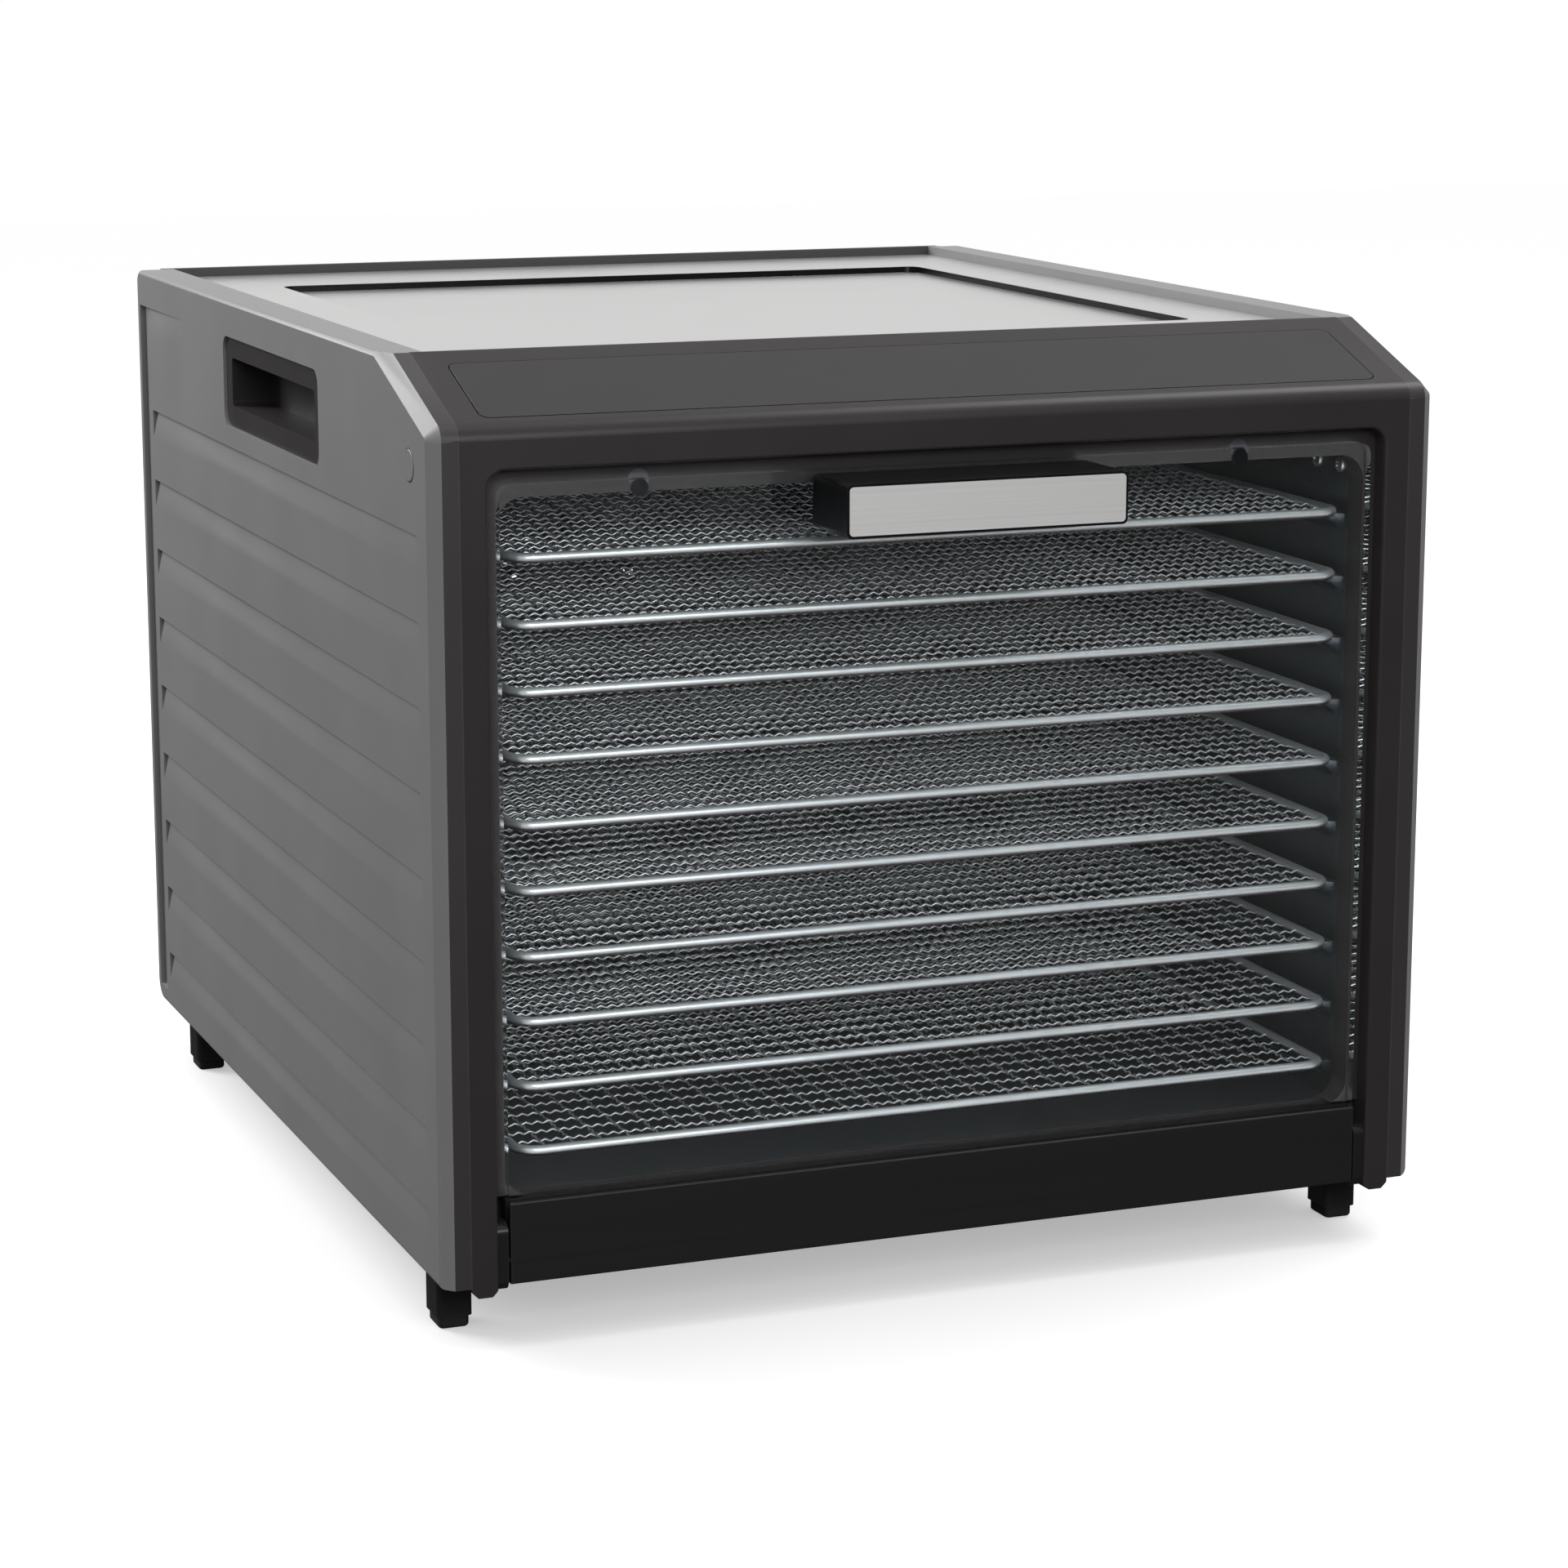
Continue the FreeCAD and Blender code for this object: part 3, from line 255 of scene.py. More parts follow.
def build_rubbed_edges():
    """A mask of edges that hands and cloths have rubbed."""
    nodes, given, result = open_group("rubbed_edges",
                                      [("Vector", "Vector", None), ("Radius", "Float", MM),
                                       ("Amount", "Float", 0.5)],
                                      [("Mask", "Float")])
    rounded = nodes.add("ShaderNodeBevel", {"Radius": given["Radius"]}, samples=4)
    flat = nodes.add("ShaderNodeNewGeometry")
    dot = nodes.add("ShaderNodeVectorMath", {0: rounded.outputs["Normal"], 1: flat.outputs["Normal"]},
                    operation="DOT_PRODUCT").outputs["Value"]
    turned = nodes.math("SUBTRACT", 1.0, dot, clamp=True)
    patches = nodes.noise(given["Vector"], 60.0, 5.0)
    rubbed = nodes.math("MULTIPLY", nodes.math("MULTIPLY", turned, 9.0, clamp=True), patches)
    nodes.feed(result.inputs["Mask"], nodes.math("MULTIPLY", rubbed, given["Amount"], clamp=True))


def build_brush_marks():
    """Fine parallel lines along X, as a brushing belt leaves."""
    nodes, given, result = open_group("brush_marks",
                                      [("Vector", "Vector", None), ("Length", "Float", 40 * MM),
                                       ("Fineness", "Float", 0.12 * MM)],
                                      [("Height", "Float"), ("Tone", "Float")])
    along = nodes.math("DIVIDE", 1.0, given["Length"])
    across = nodes.math("DIVIDE", 1.0, given["Fineness"])
    stretch = nodes.xyz(X=along, Y=across, Z=across)
    stretched = nodes.add("ShaderNodeVectorMath", {0: given["Vector"], 1: stretch},
                          operation="MULTIPLY").outputs[0]
    fine = nodes.noise(stretched, 1.0, 3.0)
    broad = nodes.noise(stretched, 0.13)
    nodes.feed(result.inputs["Height"], fine)
    nodes.feed(result.inputs["Tone"], nodes.math("ADD", nodes.math("MULTIPLY", fine, 0.5),
                                                 nodes.math("MULTIPLY", broad, 0.5)))


def build_settled_dust():
    """A mask of the thin dust that lies on level faces."""
    nodes, given, result = open_group("settled_dust", [("Vector", "Vector", None), ("Amount", "Float", 0.1)],
                                      [("Mask", "Float")])
    level = nodes.math("POWER", nodes.math("MAXIMUM", nodes.facing()["Z"], 0.0), 6.0)
    cloud = nodes.noise(given["Vector"], 14.0, 6.0)
    specks = nodes.noise(given["Vector"], 900.0)
    spread = nodes.math("MULTIPLY", cloud, specks)
    nodes.feed(result.inputs["Mask"], nodes.math("MULTIPLY", nodes.math("MULTIPLY", level, spread),
                                                 given["Amount"], clamp=True))


def build_smudges():
    """Soft uneven gloss of a wiped surface."""
    nodes, given, result = open_group("wiped_smudges", [("Vector", "Vector", None), ("Size", "Float", 60 * MM)],
                                      [("Mask", "Float")])
    scale = nodes.math("DIVIDE", 1.0, given["Size"])
    warped = nodes.noise(given["Vector"], scale, 5.0, 1.2)
    nodes.feed(result.inputs["Mask"], nodes.math("SMOOTH_MIN", warped, 0.85))


GROUPS = [build_moulded_grain, build_rubbed_edges, build_brush_marks, build_settled_dust, build_smudges]


# ---- finishes ----
def new_finish(name, metallic=0.0, coat=0.0, coat_roughness=0.1, specular=0.5):
    """A material with one Principled shader, its nodes and the object's own coordinates."""
    material = bpy.data.materials.new(name + "_finish")
    material.use_nodes = True
    material.node_tree.nodes.clear()
    nodes = Tree(material.node_tree)
    shader = nodes.add("ShaderNodeBsdfPrincipled", {"Metallic": metallic, "Coat Weight": coat,
                                                    "Coat Roughness": coat_roughness,
                                                    "Specular IOR Level": specular})
    out = nodes.add("ShaderNodeOutputMaterial", {"Surface": shader.outputs[0]})
    vector = nodes.add("ShaderNodeTexCoord").outputs["Object"]
    return nodes, shader, vector, out


def raise_surface(nodes, shader, height, distance, strength=1.0):
    bump = nodes.add("ShaderNodeBump", {"Height": height, "Distance": distance, "Strength": strength})
    nodes.feed(shader.inputs["Normal"], bump.outputs["Normal"])


def moulded_finish(name, tint, roughness, grain, depth, wear=0.35, dust=0.0, specular=0.5):
    """Textured moulded plastic: pebbled grain, faint mottling, lighter rubbed edges that are wear and also a
    painted highlight, and a little dust.
    """
    nodes, shader, vector, _ = new_finish(name, specular=specular)
    texture = nodes.group("moulded_grain", {"Vector": vector, "Size": grain})
    edges = nodes.rubbed(vector, 0.8 * MM, wear)
    body = nodes.shades(texture["Mottle"], tint, 0.93, 1.07)
    # the lighter edge colour is wear, and also a painted highlight along the edges
    worn_and_highlit = nodes.blend(edges, body, rgba([0.6 * value + 0.12 for value in tint]))
    if dust:
        mask = nodes.dust(vector, dust)
        worn_and_highlit = nodes.blend(mask, worn_and_highlit, PALE_DUST)
    nodes.feed(shader.inputs["Base Color"], worn_and_highlit)
    gloss = nodes.between(texture["Mottle"], roughness - 0.04, roughness + 0.05)
    nodes.feed(shader.inputs["Roughness"], nodes.math("SUBTRACT", gloss, nodes.math("MULTIPLY", edges, 0.15)))
    raise_surface(nodes, shader, texture["Height"], depth)


def metal_finish(name, tint, roughness, smudge, grain_depth=0.0, grain=0.6 * MM, metallic=1.0):
    """Smooth metal with an uneven wiped gloss and a faint rolled grain."""
    nodes, shader, vector, _ = new_finish(name, metallic=metallic)
    wiped = nodes.wiped(vector, smudge)
    nodes.feed(shader.inputs["Base Color"], nodes.shades(wiped, tint, 0.86, 1.06))
    nodes.feed(shader.inputs["Roughness"], nodes.between(wiped, roughness - 0.06, roughness + 0.08))
    if grain_depth:
        texture = nodes.group("moulded_grain", {"Vector": vector, "Size": grain})
        raise_surface(nodes, shader, texture["Height"], grain_depth)


FORWARD_LEAN = -0.12        # side panel faces leaning further to -Y, and less to the side, are charcoal
SIDEWAYS_LEAN = 0.35
STEEP_CREASE = 0.88         # top cover faces leaning further from level than this get painted shade
PALE_DUST = (0.55, 0.54, 0.52, 1.0)
TOP_DUST = (0.62, 0.61, 0.59, 1.0)
# painted shade: near-black colour for the top cover's steep crease walls, which face away from the light
CREASE_PAINTED_SHADE = (0.012, 0.012, 0.013, 1.0)
# painted shade: brownish dark laid on the undersides of the tray wires
UNDERSIDE_PAINTED_SHADE = (0.115, 0.095, 0.095, 1.0)
GLASS_EDGE = (0.52, 0.78, 0.74, 1.0)
CLEAR_GLASS_IOR = 1.2       # low, so the pane's inner face does not mirror the floor


def side_panel_finish():
    """Satin grey moulding whose forward-facing edges carry the frame's charcoal."""
    given = settings("cabinet")
    nodes, shader, vector, _ = new_finish("side_panel")
    texture = nodes.group("moulded_grain", {"Vector": vector, "Size": given.texture_size})
    edges = nodes.rubbed(vector, 0.8 * MM, 0.30)
    dust = nodes.dust(vector, 0.05)
    tint = given.panel_colour
    body = nodes.shades(texture["Mottle"], tint, 0.95, 1.05)
    facing = nodes.facing("True Normal")
    place = nodes.add("ShaderNodeSeparateXYZ", {0: vector})
    forward = nodes.math("MULTIPLY", nodes.math("LESS_THAN", facing["Y"], FORWARD_LEAN),
                         nodes.math("LESS_THAN", nodes.math("ABSOLUTE", facing["X"]), SIDEWAYS_LEAN))
    near_front = nodes.math("LESS_THAN", place.outputs["Y"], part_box("top_cover")[0].y)
    trim = nodes.math("MULTIPLY", forward, near_front)
    two_tone = nodes.blend(trim, body, rgba(given.frame_colour, 1.3))
    # the lighter edge colour is wear, and also a painted highlight along the edges
    worn_and_highlit = nodes.blend(nodes.math("MULTIPLY", edges, 0.6), two_tone, (0.26, 0.26, 0.262, 1.0))
    nodes.feed(shader.inputs["Base Color"], nodes.blend(dust, worn_and_highlit, PALE_DUST))
    nodes.feed(shader.inputs["Roughness"], nodes.between(texture["Mottle"], 0.38, 0.47))
    raise_surface(nodes, shader, texture["Height"], 0.035 * MM)


def frame_finish():
    given = settings("cabinet")
    moulded_finish("frame", given.frame_colour, 0.36, given.texture_size, 0.03 * MM, 0.22, 0.05, specular=0.4)


def rear_plastic_finish():
    given = settings("cabinet")
    moulded_finish("rear_plastic", given.rear_colour, 0.55, 1.5 * given.texture_size, 0.09 * MM, 0.25)


def top_sheet_finish():
    """Silvery lacquered sheet with fine orange peel, a wiped gloss and painted shade, near black, on the steep
    walls of its creases.
    """
    nodes, shader, vector, _ = new_finish("top_sheet", metallic=0.8)
    peel = nodes.noise(vector, 420.0)
    wiped = nodes.wiped(vector, 90 * MM)
    dust = nodes.dust(vector, 0.10)
    tint = settings("cabinet").top_colour
    body = nodes.shades(wiped, tint, 0.96, 1.04)
    # painted shade: faces steeper than STEEP_CREASE turn near black
    steep = nodes.math("LESS_THAN", nodes.facing("True Normal")["Z"], STEEP_CREASE)
    shaded_creases = nodes.blend(steep, body, CREASE_PAINTED_SHADE)
    nodes.feed(shader.inputs["Base Color"], nodes.blend(dust, shaded_creases, TOP_DUST))
    nodes.feed(shader.inputs["Roughness"], nodes.between(wiped, 0.20, 0.30))
    raise_surface(nodes, shader, peel, 0.008 * MM)


def control_glass_finish():
    """Gloss strip over a grey print, with faint wiping marks."""
    nodes, shader, vector, _ = new_finish("control_glass", coat=0.5, coat_roughness=0.05, specular=0.6)
    wiped = nodes.wiped(vector, 45 * MM)
    edges = nodes.rubbed(vector, 0.5 * MM, 0.25)
    tint = settings("cabinet").control_colour
    body = nodes.shades(wiped, tint, 0.93, 1.07)
    nodes.feed(shader.inputs["Base Color"], nodes.blend(edges, body, (0.22, 0.22, 0.23, 1.0)))
    nodes.feed(shader.inputs["Roughness"], nodes.between(wiped, 0.20, 0.30))


def liner_finish():
    """Galvanised sheet: cool metal with a faint spangle."""
    nodes, shader, vector, _ = new_finish("liner", metallic=0.85)
    spangle = nodes.add("ShaderNodeTexVoronoi", {"Vector": vector, "Scale": 160.0})
    wiped = nodes.wiped(vector, 50 * MM)
    tint = settings("chamber").liner_colour
    flakes = nodes.blend(0.12, rgba(tint), spangle.outputs["Color"], "SOFT_LIGHT")
    nodes.feed(shader.inputs["Base Color"], nodes.blend(wiped, rgba(tint, 0.9), flakes))
    nodes.feed(shader.inputs["Roughness"], nodes.between(wiped, 0.26, 0.40))


def shell_steel_finish():
    metal_finish("shell_steel", (0.055, 0.055, 0.058), 0.5, 70 * MM, 0.03 * MM, metallic=0.3)


def tray_wire_finish():
    """Bright wire, painted a darker brown on its underside as shade."""
    nodes, shader, vector, _ = new_finish("tray_wire", metallic=0.75)
    film = nodes.noise(vector, 22.0, 4.0)
    draw = nodes.noise(vector, 700.0, 1.0)
    tint = settings("trays").wire_colour
    bright = nodes.shades(film, tint, 0.84, 1.08)
    # painted shade: the further down a wire's face points, the more of the darker brown it gets
    shaded_underside = nodes.math("SUBTRACT", 0.25, nodes.math("MULTIPLY", nodes.facing()["Z"], 1.6), clamp=True)
    nodes.feed(shader.inputs["Base Color"], nodes.blend(shaded_underside, bright, UNDERSIDE_PAINTED_SHADE))
    nodes.feed(shader.inputs["Roughness"], nodes.between(draw, 0.28, 0.46))


def door_glass_finish():
    """Clear tempered glass that lets lamp light through, faintly green in its thickness."""
    nodes, shader, vector, out = new_finish("door_glass")
    shader.inputs["Transmission Weight"].default_value = 1.0
    shader.inputs["IOR"].default_value = CLEAR_GLASS_IOR
    wiped = nodes.wiped(vector, 120 * MM)
    nodes.feed(shader.inputs["Roughness"], nodes.between(wiped, 0.0, 0.012))
    tint = settings("door").glass_colour
    edges = nodes.rubbed(vector, 1.2 * MM, 0.9)
    nodes.feed(shader.inputs["Base Color"], nodes.blend(edges, rgba(tint), GLASS_EDGE))
    clear = nodes.add("ShaderNodeBsdfTransparent", {"Color": rgba(tint)})
    path = nodes.add("ShaderNodeLightPath")
    from_lamp = nodes.math("MAXIMUM", path.outputs["Is Shadow Ray"], path.outputs["Is Diffuse Ray"])
    both = nodes.add("ShaderNodeMixShader", {0: from_lamp, 1: shader.outputs[0], 2: clear.outputs[0]})
    nodes.feed(out.inputs["Surface"], both.outputs[0])


def rail_finish():
    """Anodised aluminium, near black, with a fine grain along its length."""
    nodes, shader, vector, _ = new_finish("rail", specular=0.5)
    brushed = nodes.group("brush_marks", {"Vector": vector, "Length": 120 * MM, "Fineness": 0.25 * MM})
    edges = nodes.rubbed(vector, 0.7 * MM, 0.30)
    tint = settings("door").rail_colour
    body = nodes.shades(brushed["Tone"], tint, 0.85, 1.25)
    nodes.feed(shader.inputs["Base Color"], nodes.blend(edges, body, (0.13, 0.125, 0.12, 1.0)))
    nodes.feed(shader.inputs["Roughness"], nodes.between(brushed["Tone"], 0.36, 0.50))
    raise_surface(nodes, shader, brushed["Height"], 0.006 * MM)


def handle_black_finish():
    moulded_finish("handle_black", settings("door").grip_colour, 0.30, 0.6 * MM, 0.01 * MM, 0.15, specular=0.18)


def handle_steel_finish():
    """Brushed steel with long fine marks and a bright turned-down edge."""
    given = settings("door")
    nodes, shader, vector, _ = new_finish("handle_steel", metallic=0.5)
    brushed = nodes.group("brush_marks", {"Vector": vector, "Length": given.brush_length,
                                          "Fineness": 0.16 * MM})
    edges = nodes.rubbed(vector, 0.6 * MM, 0.6)
    tint = given.plate_colour
    body = nodes.shades(brushed["Tone"], tint, 0.86, 1.12)
    nodes.feed(shader.inputs["Base Color"], nodes.blend(edges, body, (0.86, 0.855, 0.85, 1.0)))
    nodes.feed(shader.inputs["Roughness"], nodes.between(brushed["Tone"], 0.30, 0.46))
    raise_surface(nodes, shader, brushed["Height"], 0.010 * MM)


def board_finish():
    """Green laminate with paler copper areas under the lacquer."""
    nodes, shader, vector, _ = new_finish("board", coat=0.3)
    areas = nodes.add("ShaderNodeTexVoronoi", {"Vector": vector, "Scale": 90.0}, distance="CHEBYCHEV")
    nodes.feed(shader.inputs["Base Color"], nodes.blend(areas.outputs["Distance"], (0.010, 0.070, 0.025, 1.0),
                                                        (0.035, 0.170, 0.060, 1.0)))
    nodes.feed(shader.inputs["Roughness"], nodes.between(areas.outputs["Distance"], 0.3, 0.5))
    raise_surface(nodes, shader, areas.outputs["Distance"], 0.05 * MM)


def display_finish():
    """Dark window of a display with a faint cell grid."""
    nodes, shader, vector, _ = new_finish("display", coat=0.7, coat_roughness=0.04)
    cells = nodes.add("ShaderNodeTexChecker", {"Vector": vector, "Scale": 800.0,
                                               "Color1": (0.012, 0.012, 0.014, 1.0),
                                               "Color2": (0.018, 0.018, 0.021, 1.0)})
    wiped = nodes.wiped(vector, 30 * MM)
    nodes.feed(shader.inputs["Base Color"], cells.outputs["Color"])
    nodes.feed(shader.inputs["Roughness"], nodes.between(wiped, 0.12, 0.22))


def heater_finish():
    """Heat-tinted sheath: brown and blue bands along the tube."""
    nodes, shader, vector, _ = new_finish("heater_metal", metallic=0.9)
    bands = nodes.noise(vector, 35.0, 3.0, 0.6)
    tinted = nodes.blend(bands, (0.16, 0.12, 0.09, 1.0), (0.26, 0.25, 0.27, 1.0))
    nodes.feed(shader.inputs["Base Color"], tinted)
    nodes.feed(shader.inputs["Roughness"], nodes.between(bands, 0.35, 0.55))


FINISHES = {
    "side_panel": side_panel_finish,
    "top_sheet": top_sheet_finish,
    "frame": frame_finish,
    "control_glass": control_glass_finish,
    "liner": liner_finish,
    "shell_steel": shell_steel_finish,
    "rear_plastic": rear_plastic_finish,
    "tray_wire": tray_wire_finish,
    "door_glass": door_glass_finish,
    "rail": rail_finish,
    "handle_black": handle_black_finish,
    "handle_steel": handle_steel_finish,
    "fastener": lambda: metal_finish("fastener", (0.52, 0.52, 0.54), 0.32, 8 * MM),
    "magnet": lambda: metal_finish("magnet", (0.10, 0.10, 0.11), 0.35, 6 * MM),
    "hinge_black": lambda: moulded_finish("hinge_black", (0.014, 0.014, 0.015), 0.22, 0.5 * MM, 0.008 * MM,
                                          0.2),
    "board": board_finish,
    "display": display_finish,
    "fan_metal": lambda: metal_finish("fan_metal", (0.62, 0.62, 0.63), 0.34, 25 * MM, 0.01 * MM),
    "motor_metal": lambda: metal_finish("motor_metal", (0.16, 0.16, 0.17), 0.42, 20 * MM, 0.02 * MM),
    "heater_metal": heater_finish,
    "inlet_black": lambda: moulded_finish("inlet_black", (0.016, 0.016, 0.016), 0.42, 0.8 * MM, 0.02 * MM, 0.3),
    "foot_black": lambda: moulded_finish("foot_black", (0.014, 0.014, 0.014), 0.40, 0.8 * MM, 0.02 * MM, 0.3),
    "rubber": lambda: moulded_finish("rubber", (0.012, 0.012, 0.012), 0.75, 0.7 * MM, 0.04 * MM, 0.1),
}


def finish_of(slot):
    return bpy.data.materials[slot + "_finish"]


# ---- making and placing pieces ----
def seat(piece, slot, body, *nodes):
    """Give a finished piece its material and its body, and hide the nodes that it stands for."""
    piece.data.materials.clear()
    piece.data.materials.append(finish_of(slot))
    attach(piece, body)
    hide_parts(*nodes)
    return piece


def link_mesh(name, mesh):
    piece = bpy.data.objects.new(name, mesh)
    bpy.context.scene.collection.objects.link(piece)
    return piece


def settle(piece):
    """Turn a piece and its modifiers into a plain mesh piece of the same name."""
    graph = bpy.context.evaluated_depsgraph_get()
    mesh = bpy.data.meshes.new_from_object(piece.evaluated_get(graph), preserve_all_data_layers=True,
                                           depsgraph=graph)
    name = piece.name
    bpy.data.objects.remove(piece)
    mesh.name = name
    return link_mesh(name, mesh)


WELD = 0.002 * MM               # corners closer than this are one corner
COPLANAR = math.radians(0.04)   # faces that meet flatter than this are one face
SHARP = math.radians(32.0)      # an edge that folds further than this is rounded
NARROW = 2.3                    # a face narrower than this many edge radii keeps its corners
FLAT_FIRST = 60                 # how far shading follows the larger faces, out of 100
BROAD_FACE = 0.0025             # a face larger than this, in square metres, shows its own plane
TURNED_CORNER = 0.85            # a blended normal that agrees less than this with its face is put right


def face_width(face):
    """About how wide a face is across its longest edge."""
    return face.calc_area() / max(edge.calc_length() for edge in face.edges)


def clean_copy(node, radius=0.0):
    """A closed mesh of a node, its flat faces merged and its roomy sharp edges marked for rounding."""
    source = frame["nodes"][node].data
    mesh = bpy.data.meshes.new(node + "_copy")
    mesh.from_pydata([vertex.co for vertex in source.vertices], [],
                     [list(face.vertices) for face in source.polygons])
    work = bmesh.new()
    work.from_mesh(mesh)
    bmesh.ops.remove_doubles(work, verts=work.verts, dist=WELD)
    bmesh.ops.dissolve_limit(work, angle_limit=COPLANAR, verts=work.verts, edges=work.edges)
    weight = work.edges.layers.float.new("bevel_weight_edge")
    for edge in work.edges:
        if edge.calc_face_angle(0.0) > SHARP:
            roomy = all(face_width(face) > NARROW * radius for face in edge.link_faces)
            edge[weight] = 1.0 if roomy else 0.0
            edge.smooth = roomy
    work.to_mesh(mesh)
    work.free()
    return mesh


def true_corners(mesh):
    """Broad faces, and corners whose blended normal leans too far, take the face's own normal."""
    normals = [corner.vector.copy() for corner in mesh.corner_normals]
    for face in mesh.polygons:
        for corner in face.loop_indices:
            if face.area > BROAD_FACE or normals[corner].dot(face.normal) < TURNED_CORNER:
                normals[corner] = face.normal.copy()
    mesh.normals_split_custom_set(normals)


def soften(node, radius, segments=2):
    """A node's shape with its sharp edges rounded, as a mould or a press leaves them."""
    piece = link_mesh(node + "_softened", clean_copy(node, radius))
    for face in piece.data.polygons:
        face.use_smooth = True
    bevel = piece.modifiers.new("edge", "BEVEL")
    bevel.width = radius
    bevel.segments = segments
    bevel.limit_method = "WEIGHT"
    bevel.use_clamp_overlap = True
    flatten = piece.modifiers.new("shading", "WEIGHTED_NORMAL")
    flatten.weight = FLAT_FIRST
    flatten.keep_sharp = True
    piece = settle(piece)
    true_corners(piece.data)
    return seat(piece, SLOT_OF[node], frame["nodes"][node]["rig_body"], node)


def middle(node):
    low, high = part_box(node)
    return (low + high) / 2.0


# ---- geometry node trees ----
def open_shape_tree(name, inputs):
    """A Geometry Nodes tree with named inputs, and its input and output nodes."""
    tree = bpy.data.node_groups.new(name, "GeometryNodeTree")
    tree.interface.new_socket("Geometry", in_out="INPUT", socket_type="NodeSocketGeometry")
    for label, kind in inputs:
        tree.interface.new_socket(label, in_out="INPUT", socket_type="NodeSocket" + kind)
    tree.interface.new_socket("Geometry", in_out="OUTPUT", socket_type="NodeSocketGeometry")
    nodes = Tree(tree)
    return nodes, nodes.add("NodeGroupInput").outputs, nodes.add("NodeGroupOutput")


def close_shape_tree(nodes, geometry, result, material):
    real = nodes.add("GeometryNodeRealizeInstances", {"Geometry": geometry})
    painted = nodes.add("GeometryNodeSetMaterial", {"Geometry": real.outputs[0]})
    nodes.feed(painted.inputs["Material"], material)
    nodes.feed(result.inputs["Geometry"], painted.outputs["Geometry"])


def grow(name, tree, base, values):
    """Run a Geometry Nodes tree on a mesh and keep the result as a plain piece."""
    piece = link_mesh(name, base)
    modifier = piece.modifiers.new("shape", "NODES")
    modifier.node_group = tree
    for item in tree.interface.items_tree:
        if item.in_out == "INPUT" and item.name in values:
            modifier[item.identifier] = values[item.name]
    piece = settle(piece)
    if not piece.data.polygons:
        raise RuntimeError(name + " came out empty")
    return piece


WAVES_PER_CELL = 2.5        # an odd number of half waves turns a wire over from one crossing to the next
POINTS_PER_WAVE = 4.0
SIDE_WIRE_FACES = 4         # faces around a wire that runs from side to side
DEEP_WIRE_FACES = 3         # and around one that runs from front to back
RIM_FACES = 14
CORNER_POINTS = 7


def crimped_wires(nodes, given, reach, pitch, count, waves, sides, turned):
    """A row of wires along X, every second one turned over so that they weave."""
    line = nodes.add("GeometryNodeCurvePrimitiveLine",
                     {"Start": nodes.xyz(X=nodes.math("MULTIPLY", reach, -0.5)),
                      "End": nodes.xyz(X=nodes.math("MULTIPLY", reach, 0.5))})
    steps = nodes.math("ADD", nodes.math("MULTIPLY", waves, POINTS_PER_WAVE), 1.0)
    fine = nodes.add("GeometryNodeResampleCurve", {"Curve": line.outputs[0], "Count": steps})
    along = nodes.add("GeometryNodeSplineParameter").outputs["Factor"]
    phase = nodes.math("MULTIPLY", nodes.math("MULTIPLY", along, waves), 2.0 * math.pi)
    swing = nodes.math("MULTIPLY", nodes.math("COSINE", phase), given["Crimp"])
    waved = nodes.add("GeometryNodeSetPosition", {"Geometry": fine.outputs[0], "Offset": nodes.xyz(Z=swing)})
    section = nodes.add("GeometryNodeCurvePrimitiveCircle", {"Resolution": sides,
                                                             "Radius": given["Wire Radius"]})
    wire = nodes.add("GeometryNodeCurveToMesh", {"Curve": waved.outputs[0], "Profile Curve": section.outputs[0],
                                                 "Fill Caps": True})
    first = nodes.math("MULTIPLY", nodes.math("MULTIPLY", nodes.math("SUBTRACT", count, 1.0), pitch), -0.5)
    row = nodes.add("GeometryNodeMeshLine", {"Count": count, "Start Location": nodes.xyz(Y=first),
                                             "Offset": nodes.xyz(Y=pitch)})
    index = nodes.add("GeometryNodeInputIndex").outputs[0]
    odd = nodes.math("MODULO", nodes.math("ADD", index, 1.0 if turned else 0.0), 2.0)
    spin = nodes.add("FunctionNodeEulerToRotation", {0: nodes.xyz(X=nodes.math("MULTIPLY", odd, math.pi))})
    placed = nodes.add("GeometryNodeInstanceOnPoints", {"Points": row.outputs[0], "Instance": wire.outputs[0],
                                                        "Rotation": spin.outputs[0]})
    if not turned:
        return placed.outputs[0]
    quarter = nodes.add("FunctionNodeEulerToRotation", {0: (0.0, 0.0, math.pi / 2.0)})
    whole = nodes.add("GeometryNodeRealizeInstances", {"Geometry": placed.outputs[0]})
    return nodes.add("GeometryNodeTransform", {"Geometry": whole.outputs[0],
                                               "Rotation": quarter.outputs[0]}).outputs[0]


